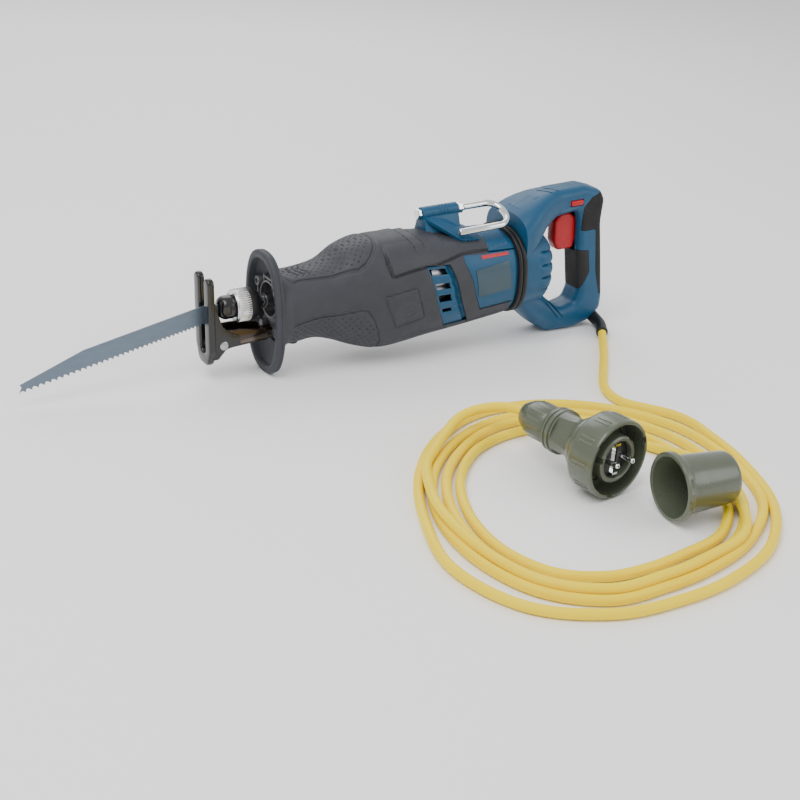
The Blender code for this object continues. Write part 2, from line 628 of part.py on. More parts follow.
def make_rear():
    # two beads with a groove between them, (behind the motor housing, how far out)
    beads = [(GAP, 1.6), (1.8, 3.0), (4.4, 3.0), (5.3, 2.0), (6.2, 3.0), (8.9, 3.0),
             (RING_END - MOTOR_END, 1.6)]
    stations = [(MOTOR_END + behind, *body_shift(349, out)) for behind, out in beads]
    seal = piece("bumper_ring", loft(stations), "soft_black")
    cut(seal, loft([(x, *body_shift(349, -3.2)) for x in (MOTOR_END - 5, RING_END + 5)]))
    rear = piece("rear_housing", loft(body_stations(RING_END + GAP, REAR_END, 0.6, 8.0)), "blue")
    cut(rear, loft(body_stations(RING_END - 8, REAR_END - 3.5, 3.6, 8.0)))
    for side in (-1, 1):
        for k in range(4):
            z = 9.0 - 14.0 * k
            low, high = sorted((side * 20.0, side * 50.0))
            cut(rear, box(371.0, 395.0, low, high, z - 2.0, z + 2.0))


def body_shift(x, out):
    centre_z, half_w, half_h = body_section(x)
    return centre_z, half_w + out, half_h + out


# ---- hook ----------------------------------------------------------------------------------------------
def make_hook():
    hy, hz = HOOK_AXIS
    front, back = 245.0, 288.0      # ends of the hinge barrel
    base = piece("hook_base", loft(body_stations(238.0, 298.0, -3.6), capped=False), "blue")
    hollow(base, 3.2)
    boolean(base, box(239.0, 297.0, -30.0, 30.0, 8.0, 90.0), "INTERSECT")
    web = box(front, back, hy - 5.0, hy + 5.0, hz - 17.5, hz - 1.0)
    unite(base, along_x(6.4, front, back, hy, hz, 24), web)
    cut(base, along_x(3.3, 230, 300, hy, hz, 20))
    pin = piece("hook_pin", along_x(3.0, front - 4.0, back + 7.5, hy, hz, 20), "bright_steel",
                (front, hy, hz))
    unite(pin, along_x(5.6, front - 4.5, front - 0.4, hy, hz, 6))
    nut = piece("hook_nut", along_x(5.6, back + 0.4, back + 6.4, hy, hz, 6), "bright_steel",
                (back + 4, hy, hz))
    cut(nut, along_x(3.3, back - 4, back + 12, hy, hz, 20))
    route = rounded([(back + 8, hy, 0), (338.0, hy, 15), (336.0, -24.0, 15), (272.0, -25.0, 0)], 6)
    points = [(x, y, hz + (y - hy) * HOOK_SLOPE) for x, y in route]
    piece("rafter_hook", tube(points, HOOK_WIRE / 2, 2), "bright_steel", (back + 12, hy, hz))


# ---- handle --------------------------------------------------------------------------------------------
def make_handle():
    outer = rounded(HANDLE_OUTER, 3)
    opening = rounded(HANDLE_WINDOW, 3)
    shell_space = loft(body_stations(340.0, REAR_END, -0.1, 8.0)
                       + [(REAR_END + GAP, *body_shift(REAR_END, -0.3))])
    for name, side in (("handle_left", -1), ("handle_right", 1)):
        # each half is the whole outline, cut at the parting plane
        half = piece(name, slab([outer, opening], "XZ", -HANDLE_HALF, HANDLE_HALF, 5.0), "blue")
        low, high = sorted((-side * 40.0, side * GAP / 2))
        cut(half, box(340, 480, low, high, -110, 80))
        cut(half, shell_space.copy())
        # rooms for switch, electronics and cord clamp
        cut(half, box(441.0, 457.0, -12.5, 12.5, -30.0, 36.0), box(396.0, 430.0, -12.5, 12.5, 47.5, 61.5),
            box(425.0, 450.0, -11.5, 11.5, -84.0, -71.0))
        # trigger slot, lock button hole, dial hole, cord exit
        cut(half, box(420.0, 441.6, -8.0, 8.0, -6.0, 38.5))
        cut(half, relief_tube(0.6), parent=None)
        cut(half, box(416.0, 431.5, -20, 20, 48.5, 55.5))
        cut(half, rod(8.3, (404.0, 13.0, 53.0), (0, 1, 0), 10, 24))
        # seats of the two soft pads
        cut(half, slab([rounded(pad_outline(460.0, 480.0), 3)], "XZ", -12.3, 12.3))
        cut(half, slab([rounded(front_pad_outline(425.0, 3.0), 3)], "XZ", -12.3, 12.3))
        # screw holes along the parting plane
        for sx, sz in HANDLE_SCREWS:
            cut(half, rod(1.9, (sx, -25, sz), (0, 1, 0), 50, 12))
            if side < 0:
                cut(half, rod(3.6, (sx, -25, sz), (0, 1, 0), 14.0, 12))


def pad_outline(front, back):
    """Rear soft pad: a band down the back of the grip."""
    return [(front - 0.2, 46, 2), (back, 46, 0), (back, -58, 0), (front + 6.5, -58, 2),
            (front + 1.0, -14, 40)]


def front_pad_outline(front, depth):
    """Front soft pad: a band down the front of the grip, below the trigger."""
    return [(front, -14, 0), (434.0 + depth - 0.4, -14, 2), (439.5 + depth, -50, 2), (front, -50, 0)]


def make_pads():
    outer = rounded(HANDLE_OUTER, 3)
    opening = rounded(HANDLE_WINDOW, 3)
    rear = piece("grip_rear_pad", slab([outer], "XZ", -12.0, 12.0), "soft_black")
    boolean(rear, slab([rounded([(460.1, 45.7, 2), (490, 45.7, 0), (490, -57.7, 0), (466.8, -57.7, 2),
                                 (461.3, -14, 40)], 3)], "XZ", -30, 30), "INTERSECT")
    front = piece("grip_front_pad", slab([rounded([(425, -14.3, 0), (436.3, -14.3, 2), (442.2, -49.7, 2),
                                                   (425, -49.7, 0)], 3)], "XZ", -12.0, 12.0), "soft_black")
    cut(front, slab([opening], "XZ", -30, 30))


def make_controls():
    px, pz = TRIGGER_PIVOT
    shape = rounded([(408, 36.5, 5), (433, 36.5, 3), (434, 10, 3), (430, -2.5, 4), (412, -2.5, 5),
                     (406, 10, 12)], 4)
    piece("trigger", slab([shape], "XZ", -7.4, 7.4, 1.8), "red", (px, 0, pz - 5.0))
    lock = piece("lock_button", box(417, 430.5, -19.5, -13.0, 49.2, 54.8, 1.2), "red", (424, -17, 52))
    unite(lock, box(419, 428.5, -14.0, -7.5, 50.0, 54.0))
    dial = [(0, 4.6), (7.0, 4.6), (7.8, 3.8), (7.8, 0), (0, 0)]
    piece("speed_dial", turned(dial, (404.0, 13.2, 53.0), (0, 1, 0), 24), "dark_plastic", (404, 15, 53))
    piece("switch_module", box(442.0, 456.3, -11.8, 11.8, -29.0, 35.0, 1.0), "dark_plastic")
    clamp = piece("cord_clamp", box(426.0, 444.0, -10.5, 10.5, -83.0, -77.0, 0.8), "dark_plastic")
    cut(clamp, rod(4.5, (420.0, 0, -76.5), (1, 0, 0), 40, 20))
    for k, (sx, sz) in enumerate(HANDLE_SCREWS, 1):
        screw = piece(f"handle_screw_{k}", rod(1.6, (sx, -13.6, sz), (0, 1, 0), 24.0, 12), "steel",
                      (sx, 0, sz))
        unite(screw, rod(3.2, (sx, -13.6, sz), (0, 1, 0), 2.4, 12))


# ---- lead, plug and cap, floor frame -------------------------------------------------------------------
def floor_piece(name, mesh, colour, origin=(0, 0, 0)):
    return piece(name, mesh, colour, origin, None)


def relief_tube(extra):
    """The tapered sleeve, `extra` mm thicker all round."""
    route = smooth_path(RELIEF_ROUTE, 3)
    last = len(route) - 1
    return tube(route, [7.2 - 1.2 * i / last + extra for i in range(last + 1)], 2)


def make_lead():
    floor_piece("strain_relief", relief_tube(0.0), "soft_black")
    floor_piece("cord_lead", tube(smooth_path(LEAD_ROUTE, 3), CORD_D / 2, 2), "yellow")
    floor_piece("cord_tail", tube(smooth_path(TAIL_ROUTE, 3), CORD_D / 2, 2), "yellow")
    floor_piece("cord_coil", coil_ring(), "yellow")


def coil_point(angle, inward, height):
    """Point `inward` mm inside the ellipse that the coil is laid from."""
    turn = math.radians(COIL_TURN)
    along = (COIL_LONG - inward) * math.cos(angle)
    across = (COIL_SHORT - inward) * math.sin(angle)
    return Vector((COIL_CENTRE[0] + along * math.cos(turn) - across * math.sin(turn),
                   COIL_CENTRE[1] + along * math.sin(turn) + across * math.cos(turn), height))


def coil_ring():
    """Ring round all the turns: its edges follow the outermost and innermost turn."""
    edges = [(min(turn) - CORD_D / 2, max(turn) + CORD_D / 2) for turn in zip(*COIL_INWARD)]
    steps = len(edges)
    bm = bmesh.new()
    rings = []
    for k in range(2 * steps):
        angle = math.radians(COIL_START - COIL_STEP * k / 2)
        here, after = edges[k // 2], edges[(k // 2 + k % 2) % steps]
        outer = (here[0] + after[0]) / 2
        inner = (here[1] + after[1]) / 2
        section = [(outer, GAP), (outer, COIL_SINGLE - 2), (outer + 4, COIL_SINGLE),
                   (outer + 11, COIL_HEIGHT), (inner - 21, COIL_HEIGHT), (inner - 14, COIL_SINGLE),
                   (inner - 2, COIL_SINGLE), (inner, COIL_SINGLE - 2), (inner, GAP)]
        rings.append([bm.verts.new(coil_point(angle, inward, height) * MM) for inward, height in section])
    for low, high in zip(rings, rings[1:] + rings[:1]):
        for k in range(len(low)):
            j = (k + 1) % len(low)
            bm.faces.new((low[k], low[j], high[j], high[k]))
    bmesh.ops.recalc_face_normals(bm, faces=bm.faces)
    return to_mesh(bm)


def plug_point(side, up, along):
    return local_point(PLUG_FACE, PLUG_HEADING, side, up, along)


def make_plug():
    toward = Vector(PLUG_HEADING)

    def solid(profile, sides=24):
        return turned(profile, PLUG_FACE, toward, sides)

    nut = [(5.0, -76.3), (16.5, -76.3), (17.6, -79), (17.6, -97), (15, -104), (11, -112.0), (5.0, -112.0)]
    floor_piece("plug_gland_nut", solid(nut), "olive", PLUG_FACE)
    body = [(0, -22), (27, -22), (27, -36), (22, -44), (20.5, -58), (20.5, -73), (15.5, -76), (0, -76)]
    floor_piece("plug_body", solid(body), "olive", PLUG_FACE)
    collar = [(32.4, 0), (PLUG_R - 0.6, 0), (PLUG_R, -1.5), (PLUG_R, -25), (PLUG_R - 2.5, -29),
              (27.4, -29), (27.4, -21.5), (32.4, -21.5)]
    floor_piece("plug_ring", solid(collar, 28), "olive", PLUG_FACE)
    insert = [(0, -9), (17, -9), (17, -2), (19.6, -1), (21.5, -2.5), (21.5, -21.7), (0, -21.7)]
    insert_obj = floor_piece("plug_insert", solid(insert), "olive", PLUG_FACE)
    cut(insert_obj, *[rod(2.75, plug_point(side, 0, -20), toward, 30, 16) for side in (-9.5, 9.5)],
        parent=None)
    for name, side in (("plug_pin_left", -9.5), ("plug_pin_right", 9.5)):
        floor_piece(name, rod(2.4, plug_point(side, 0, -19.5), toward, 28.0, 16), "bright_steel", PLUG_FACE)
    clip = rounded([(-14.5, 0, 0), (14.5, 0, 0), (14.5, 6.0, 0), (12.5, 6.0, 0), (12.5, 1.6, 0),
                    (-12.5, 1.6, 0), (-12.5, 6.0, 0), (-14.5, 6.0, 0)])
    strip = slab([clip], "XZ", -3.0, 3.0)
    strip.transform(aim(plug_point(0, 0, -8.7), toward) @ Matrix.Rotation(math.pi / 2, 4, "Z"))
    floor_piece("earth_contact", strip, "bright_steel", PLUG_FACE)


def make_cap():
    away = -Vector(CAP_HEADING)
    profile = [(0.0, -55.5), (18.6, -55.5), (20.2, -53), (23.4, -12), (26.0, 0), (29.6, 0), (30.0, -1),
               (30.0, -5), (27.2, -7), (26.0, -12), (22.6, -56), (20.0, -59), (0.0, -59)]
    floor_piece("plug_cap", turned(profile, CAP_MOUTH, away, 28), "olive")


make_blade()
make_chuck()
make_plunger()
make_shoe()
make_front()
make_drive()
make_motor()
make_housing()
make_rear()
make_hook()
make_handle()
make_pads()
make_controls()
make_lead()
make_plug()
make_cap()
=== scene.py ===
import json
import math

import bmesh
import bpy
from mathutils import Matrix, Vector


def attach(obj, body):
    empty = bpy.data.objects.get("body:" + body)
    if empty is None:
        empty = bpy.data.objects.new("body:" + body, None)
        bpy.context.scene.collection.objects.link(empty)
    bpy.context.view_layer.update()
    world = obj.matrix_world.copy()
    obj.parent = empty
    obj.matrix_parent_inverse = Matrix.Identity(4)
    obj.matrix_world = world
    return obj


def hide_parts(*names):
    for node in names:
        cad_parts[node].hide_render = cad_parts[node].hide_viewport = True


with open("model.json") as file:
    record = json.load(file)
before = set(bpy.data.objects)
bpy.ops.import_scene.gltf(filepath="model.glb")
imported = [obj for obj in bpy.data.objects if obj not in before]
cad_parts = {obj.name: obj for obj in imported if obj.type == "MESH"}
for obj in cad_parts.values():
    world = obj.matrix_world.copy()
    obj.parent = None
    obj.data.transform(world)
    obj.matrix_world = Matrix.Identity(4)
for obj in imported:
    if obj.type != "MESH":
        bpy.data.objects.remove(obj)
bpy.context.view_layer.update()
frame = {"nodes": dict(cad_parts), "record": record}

MM = 0.001
# the saw's own frame in millimetres: x from the shoe's front to the handle, z = 0 on the plunger's axis
SAW_PLACE = (-0.1476, 0.0, 0.07117)
SAW_PITCH = math.radians(-3.0)
SAW = Matrix.Translation(SAW_PLACE) @ Matrix.Rotation(SAW_PITCH, 4, "Y") @ Matrix.Scale(MM, 4)
# the row frame in millimetres, for what lies on the floor
FLOOR = Matrix.Scale(MM, 4)


def placed(name, data):
    """A new object of this data, in the scene."""
    obj = bpy.data.objects.new(name, data)
    bpy.context.scene.collection.objects.link(obj)
    return obj


# ---- camera ----
CAMERA_PLACE = (-0.68925, -1.23108, 0.58781)
CAMERA_RIGHT = (0.86147, -0.50297, 0.06989)
CAMERA_UP = (0.15047, 0.38429, 0.91087)
CAMERA_LENS = 67.5


def make_camera():
    data = bpy.data.cameras.new("camera")
    data.lens = CAMERA_LENS
    data.sensor_width = 36.0
    data.clip_start = 0.05
    obj = placed("camera", data)
    right = Vector(CAMERA_RIGHT).normalized()
    back = right.cross(Vector(CAMERA_UP)).normalized()
    up = back.cross(right)
    obj.matrix_world = Matrix.Translation(CAMERA_PLACE) @ Matrix((right, up, back)).transposed().to_4x4()
    bpy.context.scene.camera = obj


make_camera()


# ---- materials ----
MIX_SHARE, MIX_FIRST, MIX_SECOND, MIX_RESULT = 0, 6, 7, 2    # the colour sockets of a Mix node
COAT_ROUGHNESS = 0.12
LOOKS = {}


def new_node(tree, kind, **sockets):
    """Node with its sockets set; an underscore in a name stands for a space."""
    node = tree.nodes.new(kind)
    for name, value in sockets.items():
        node.inputs[name.replace("_", " ")].default_value = value
    return node


def ranged(tree, source, **sockets):
    """The source mapped from one range to another."""
    node = new_node(tree, "ShaderNodeMapRange", **sockets)
    tree.links.new(source, node.inputs["Value"])
    return node.outputs["Result"]


def mixed(tree, share, colour):
    """A Mix node towards this colour."""
    node = tree.nodes.new("ShaderNodeMix")
    node.data_type = "RGBA"
    node.inputs[MIX_SECOND].default_value = (*colour, 1)
    tree.links.new(share, node.inputs[MIX_SHARE])
    return node


def look(name, colour, other, rough, metal=0.0, blotch=60.0, share=0.5, rough_span=0.12,
         grain=2200.0, bump=0.12, bump_depth=0.0002, edge=None, edge_share=0.5, coat=0.0,
         stretch=(1, 1, 1), pits=0.0, pit_scale=400.0, specular=0.5):
    """Procedural surface: two colours in soft blotches, grain bump, uneven gloss and lighter worn edges."""
    made = bpy.data.materials.new(name)
    made.use_nodes = True
    tree = made.node_tree
    link = tree.links.new
    shader = tree.nodes["Principled BSDF"]
    shader.inputs["Metallic"].default_value = metal
    shader.inputs["Coat Weight"].default_value = coat
    shader.inputs["Coat Roughness"].default_value = COAT_ROUGHNESS
    shader.inputs["Specular IOR Level"].default_value = specular
    place = tree.nodes.new("ShaderNodeTexCoord")
    mapping = new_node(tree, "ShaderNodeMapping", Scale=stretch)
    link(place.outputs["Object"], mapping.inputs["Vector"])
    cloud = new_node(tree, "ShaderNodeTexNoise", Scale=blotch, Detail=5.0, Roughness=0.6)
    fine = new_node(tree, "ShaderNodeTexNoise", Scale=grain, Detail=3.0, Roughness=0.6)
    for node in (cloud, fine):
        link(mapping.outputs["Vector"], node.inputs["Vector"])
    amount = ranged(tree, cloud.outputs["Fac"], From_Min=0.3, From_Max=0.7, To_Max=share)
    blotches = mixed(tree, amount, other)
    blotches.inputs[MIX_FIRST].default_value = (*colour, 1)
    tint = blotches.outputs[MIX_RESULT]
    if edge:
        point = tree.nodes.new("ShaderNodeNewGeometry").outputs["Pointiness"]
        worn = mixed(tree, ranged(tree, point, From_Min=0.54, From_Max=0.66, To_Max=edge_share), edge)
        link(tint, worn.inputs[MIX_FIRST])
        tint = worn.outputs[MIX_RESULT]
    link(tint, shader.inputs["Base Color"])
    gloss = ranged(tree, cloud.outputs["Fac"], From_Min=0.25, From_Max=0.75,
                   To_Min=max(0.02, rough - rough_span / 2), To_Max=rough + rough_span / 2)
    link(gloss, shader.inputs["Roughness"])
    height = fine.outputs["Fac"]
    if pits:
        cells = new_node(tree, "ShaderNodeTexVoronoi", Scale=pit_scale)
        link(mapping.outputs["Vector"], cells.inputs["Vector"])
        both = tree.nodes.new("ShaderNodeMath")
        both.operation = "ADD"
        link(height, both.inputs[0])
        link(ranged(tree, cells.outputs["Distance"], From_Max=0.6, To_Max=pits), both.inputs[1])
        height = both.outputs[0]
    bumped = new_node(tree, "ShaderNodeBump", Strength=bump, Distance=bump_depth)
    link(height, bumped.inputs["Height"])
    link(bumped.outputs["Normal"], shader.inputs["Normal"])
    LOOKS[name] = made


look("boot_rubber", (0.04, 0.043, 0.053), (0.031, 0.033, 0.04), 0.55, grain=1500, bump=0.3,
     edge=(0.08, 0.085, 0.1), edge_share=0.5, specular=0.35)
look("soft_grip", (0.012, 0.011, 0.012), (0.007, 0.007, 0.008), 0.65, bump=0.6, specular=0.3,
     grain=1200, pits=1.2, pit_scale=700, edge=(0.06, 0.06, 0.065))
look("black_rubber", (0.009, 0.009, 0.01), (0.013, 0.013, 0.014), 0.45, specular=0.35, grain=1800,
     bump=0.2, edge=(0.07, 0.07, 0.075))
look("blue_shell", (0.0075, 0.07, 0.15), (0.005, 0.058, 0.128), 0.42, grain=2600, bump=0.16,
     edge=(0.03, 0.13, 0.24), edge_share=0.45, specular=0.35)
look("red_plastic", (0.42, 0.002, 0.006), (0.33, 0.001, 0.004), 0.3, specular=0.4, grain=2400,
     bump=0.06, edge=(0.6, 0.02, 0.02))
look("plate_grey", (0.022, 0.055, 0.082), (0.018, 0.048, 0.072), 0.4, grain=3000, bump=0.05, coat=0.2)
look("chrome", (0.82, 0.83, 0.84), (0.72, 0.73, 0.75), 0.1, 1.0, grain=900, bump=0.03, rough_span=0.08)
look("knurled", (0.72, 0.72, 0.73), (0.5, 0.5, 0.52), 0.22, 1.0, grain=1500, bump=0.1,
     edge=(0.95, 0.95, 0.95), edge_share=0.8)
look("steel", (0.46, 0.47, 0.49), (0.34, 0.35, 0.37), 0.32, 1.0, bump=0.15, stretch=(6, 1, 1),
     grain=900)
look("blade_steel", (0.15, 0.19, 0.24), (0.115, 0.15, 0.195), 0.38, 0.7, grain=700, bump=0.12,
     stretch=(1, 1, 5), edge=(0.75, 0.77, 0.8), edge_share=0.7)
look("black_steel", (0.006, 0.006, 0.006), (0.012, 0.011, 0.01), 0.2, grain=1600, bump=0.1, coat=0.2,
     edge=(0.05, 0.048, 0.045), edge_share=0.6)
look("brown_steel", (0.045, 0.028, 0.02), (0.02, 0.013, 0.01), 0.2, 0.6, grain=1200, bump=0.1, coat=0.4,
     edge=(0.3, 0.24, 0.2))
look("cast_aluminium", (0.16, 0.16, 0.165), (0.09, 0.09, 0.095), 0.5, 0.8, grain=800, bump=0.5,
     bump_depth=0.0004)
look("brass", (0.55, 0.4, 0.16), (0.45, 0.3, 0.1), 0.3, 1.0)
look("copper", (0.6, 0.26, 0.12), (0.45, 0.18, 0.08), 0.35, 1.0)
look("dark_plastic", (0.02, 0.02, 0.022), (0.03, 0.03, 0.032), 0.4)
look("cord_yellow", (0.95, 0.71, 0.0), (0.92, 0.64, 0.0), 0.45, blotch=25, specular=0.25, grain=1400,
     bump=0.08)
look("olive", (0.085, 0.1, 0.07), (0.065, 0.078, 0.052), 0.3, grain=1500, bump=0.1, coat=0.25,
     edge=(0.2, 0.22, 0.17), edge_share=0.6)
look("floor", (0.96, 0.96, 0.96), (0.94, 0.94, 0.94), 0.6, blotch=2.0, grain=300, bump=0.02)


# the record's material slots, and the look that a CAD node shows as it is
SLOT_LOOKS = {
    "blade_steel": "blade_steel", "bright_steel": "chrome", "plain_steel": "steel",
    "black_steel": "black_steel", "brown_steel": "brown_steel", "cast_aluminium": "cast_aluminium",
    "grey_rubber": "boot_rubber", "black_rubber": "black_rubber", "blue_plastic": "blue_shell",
    "red_plastic": "red_plastic", "copper": "copper", "brass": "brass", "dark_plastic": "dark_plastic",
    "yellow_cord": "cord_yellow", "olive_plastic": "olive",
}
LOOK_SLOTS = {made: slot for slot, made in SLOT_LOOKS.items()}
LOOK_SLOTS.update(soft_grip="black_rubber", knurled="bright_steel", plate_grey="blue_plastic")
for entry in frame["record"]["subparts"]:
    for node_slot in frame["nodes"][entry["node"]].material_slots:
        node_slot.material = LOOKS[SLOT_LOOKS[entry["material_slot"]]]


# ---- mesh helpers, millimetres ----
WELD = 0.002
ORIGIN = (0, 0, 0)
ALONG = (1, 0, 0)
UP = (0, 0, 1)


def keep(name, mesh, surface, body="saw", space=SAW, replaces=(), sharp=40):
    """A finished piece from a mesh given in `space`'s millimetres; its slot is its look's own."""
    mesh.transform(space)
    mesh.materials.clear()
    mesh.materials.append(LOOKS[surface])
    mesh.shade_smooth()
    mesh.set_sharp_from_angle(angle=math.radians(sharp))
    obj = placed(name, mesh)
    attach(obj, body)
    if replaces:
        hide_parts(*replaces)


def to_mesh(bm):
    mesh = bpy.data.meshes.new("shape")
    bm.to_mesh(mesh)
    bm.free()
    return mesh


def baked(obj):
    """Mesh of a helper object after its modifiers; the helper is removed."""
    graph = bpy.context.evaluated_depsgraph_get()
    graph.update()
    mesh = bpy.data.meshes.new_from_object(obj.evaluated_get(graph))
    bpy.data.objects.remove(obj, do_unlink=True)
    return mesh


def helper(mesh):
    return placed("helper", mesh)


def walled(bm, thick):
    """The open surface given this wall, inwards."""
    obj = helper(to_mesh(bm))
    wall = obj.modifiers.new("wall", "SOLIDIFY")
    wall.thickness = thick
    wall.offset = -1.0
    return baked(obj)


def welded(mesh):
    bm = bmesh.new()
    bm.from_mesh(mesh)
    bmesh.ops.remove_doubles(bm, verts=bm.verts, dist=WELD)
    return to_mesh(bm)


def add_spline(curve, points):
    """A straight-run spline through the points."""
    spline = curve.splines.new("POLY")
    spline.points.add(len(points) - 1)
    for knot, point in zip(spline.points, points):
        knot.co = (*point, 1)
    return spline


def round_curve(name, radius, resolution):
    """An empty curve with a round bevel and closed ends."""
    curve = bpy.data.curves.new(name, "CURVE")
    curve.dimensions = "3D"
    curve.bevel_depth = radius
    curve.bevel_resolution = resolution
    curve.use_fill_caps = True
    return curve


def bridged(bm, rings, closed=False):
    """The mesh of quads from ring to ring, closed back to the first ring or capped at both ends."""
    for low, high in zip(rings, rings[1:] + (rings[:1] if closed else [])):
        for k in range(len(low)):
            j = (k + 1) % len(low)
            bm.faces.new((low[k], low[j], high[j], high[k]))
    if not closed:
        bm.faces.new(rings[0][::-1])
        bm.faces.new(rings[-1])
    bmesh.ops.recalc_face_normals(bm, faces=bm.faces)
    return to_mesh(bm)


def join(*meshes):
    bm = bmesh.new()
    for mesh in meshes:
        bm.from_mesh(mesh)
    return to_mesh(bm)


def aim(start, heading):
    """Turns and moves a shape built up along Z to start here, along the heading."""
    z = Vector(heading).normalized()
    side = Vector((0, 0, 1)).cross(z)
    x = side.normalized() if side.length > 1e-6 else Vector((1, 0, 0))
    return Matrix.Translation(Vector(start)) @ Matrix((x, z.cross(x), z)).transposed().to_4x4()


def smooth_path(route, per_span):
    """Points of a Catmull-Rom curve through the route, per_span of them to each span."""
    knots = [Vector(p) for p in route]
    knots = [knots[0] * 2 - knots[1]] + knots + [knots[-1] * 2 - knots[-2]]
    points = []
    for a, b, c, d in zip(knots, knots[1:], knots[2:], knots[3:]):
        for k in range(per_span):
            t = k / per_span
            points.append(0.5 * (2 * b + (c - a) * t + (2 * a - 5 * b + 4 * c - d) * t * t
                                 + (3 * b - a - 3 * c + d) * t ** 3))
    points.append(knots[-2])
    return points


# ---- the lead ----
CORD_D = 9.0
CORD_SMOOTH = 8             # points between two of the route's own
COIL_CENTRE = (56.4, -360.0)
COIL_LONG, COIL_SHORT = 188.0, 150.0
COIL_TURN, COIL_START, COIL_STEP = 57.9, 300.0, 24.0
CORD_Z = 4.8
# how far inside the coil's outer ellipse the centre line lies, every COIL_STEP degrees, turn by turn
COIL_INWARD = [(-14.5, -8, 2, 15, 18.5, 6, -10, -11, 0.5, 1.2, -3, -8.7, -8, -9, -11),
               (-4.7, 1, 19.5, 35, 38.5, 25, 15.6, 14, 13, 13, 12.9, 12, 12, 11, 11),
               (14.5, 18.5, 29.5, 48, 52, 41, 29.5, 28, 27, 25, 24.5, 22, 24, 27, 33),
               (35.5, 33, 43, 62, 67, 60, 47.5, 41.5, 39.5, 37, 36, 40, 44, 45, 46)]
# the last turn lies on the others: inward, height
LAST_TURN = [(38, 13.5), (26, 11), (24.5, 12.2), (41.5, 11), (45, 11), (33, 10), (22.5, 10.3), (21, 10.5),
             (13, 13.5), (7, 11.3)]
# from there it climbs to the plug's gland, where TAIL_ROUTE begins
RISE = (-28.0, -240.0, 13.5)
LEAD_ROUTE = [(300.3, -53.1, 6.9), (287.9, -71.5, 5.2), (266.4, -101, 4.8), (241.4, -133, 4.8),
              (219.9, -161, 4.8), (209.2, -184, 4.8), (209.4, -207, 4.8), (221.9, -226, 4.8),
              (236.9, -247, 4.8), (242.4, -270, 4.8), (240.5, -293, 4.8)]
TAIL_ROUTE = [(61.1, -247.6, 36.2), (59, -236, 35.6), (53.5, -224, 33.5), (43, -213.3, 29.8),
              (29.5, -207.3, 25.6), (14.5, -208.5, 21.4), (-1, -217.5, 17)]


def coil_point(number, inward, height):
    angle = math.radians(COIL_START - COIL_STEP * number)
    turn = math.radians(COIL_TURN)
    along = (COIL_LONG - inward) * math.cos(angle)
    across = (COIL_SHORT - inward) * math.sin(angle)
    return (COIL_CENTRE[0] + along * math.cos(turn) - across * math.sin(turn),
            COIL_CENTRE[1] + along * math.sin(turn) + across * math.cos(turn), height)


def cord_route():
    route = list(LEAD_ROUTE)
    number = 0
    for turn in COIL_INWARD:
        for inward in turn:
            route.append(coil_point(number, inward, CORD_Z))
            number += 1
    for step, (inward, height) in enumerate(LAST_TURN):
        route.append(coil_point(number + step, inward, height))
    return route + [RISE] + TAIL_ROUTE[::-1]


def make_cord():
    curve = round_curve("lead", CORD_D / 2 * MM, 6)
    points = smooth_path(cord_route(), CORD_SMOOTH)
    add_spline(curve, [Vector(point) * MM for point in points]).use_smooth = True
    curve.materials.append(LOOKS["cord_yellow"])
    cord = placed("lead", curve)
    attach(cord, "saw")
    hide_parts("cord_lead", "cord_tail", "cord_coil")


make_cord()


# ---- floor and light ----
FLOOR_HALF = 6.0
SKY_STRENGTH = 0.85


def make_stage():
    """White floor under an even white sky."""
    bm = bmesh.new()
    bmesh.ops.create_grid(bm, x_segments=2, y_segments=2, size=FLOOR_HALF)
    floor = helper(to_mesh(bm))
    floor.name = "floor"
    floor.data.materials.append(LOOKS["floor"])
    world = bpy.data.worlds.new("studio")
    bpy.context.scene.world = world
    world.use_nodes = True
    sky = world.node_tree.nodes["Background"]
    sky.inputs["Color"].default_value = (1, 1, 1, 1)
    sky.inputs["Strength"].default_value = SKY_STRENGTH


def area_light(name, place, target, size, power):
    data = bpy.data.lights.new(name, "AREA")
    data.energy = power
    data.shape = "RECTANGLE"
    data.size = size
    data.size_y = size
    obj = placed(name, data)
    obj.location = place
    obj.rotation_euler = (Vector(target) - Vector(place)).to_track_quat("-Z", "Y").to_euler()


make_stage()
area_light("key", (-1.0, -0.6, 1.9), (0, -0.1, 0.05), 1.4, 34)
area_light("fill", (1.5, -1.6, 1.1), (0.1, -0.2, 0.05), 1.2, 12)
area_light("back", (0.5, 1.6, 1.5), (0, 0, 0.05), 1.6, 18)

# ---- solids ----
SECTION_POWER = 2.5         # superellipse exponent of the body's cross-section


def turned(profile, start, heading, sides=64, ribs=0, depth=0.0, ribbed=()):
    """Solid of revolution from a closed profile (radius, along); points in `ribbed` carry `ribs` ribs."""
    bm = bmesh.new()
    rings = []
    for number, (radius, along) in enumerate(profile):
        if radius < 1e-6:
            rings.append([bm.verts.new((0, 0, along))])
            continue
        ring = []
        for k in range(sides):
            turn = 2 * math.pi * k / sides
            here = radius + (depth * math.cos(ribs * turn) if number in ribbed else 0.0)
            ring.append(bm.verts.new((here * math.cos(turn), here * math.sin(turn), along)))
        rings.append(ring)
    for low, high in zip(rings, rings[1:] + rings[:1]):
        for k in range(sides):
            j = (k + 1) % sides
            corners = [low[k % len(low)], low[j % len(low)], high[j % len(high)], high[k % len(high)]]
            unique = list(dict.fromkeys(corners))
            if len(unique) > 2:
                bm.faces.new(unique)
    bmesh.ops.recalc_face_normals(bm, faces=bm.faces)
    mesh = to_mesh(bm)
    mesh.transform(aim(start, heading))
    return mesh


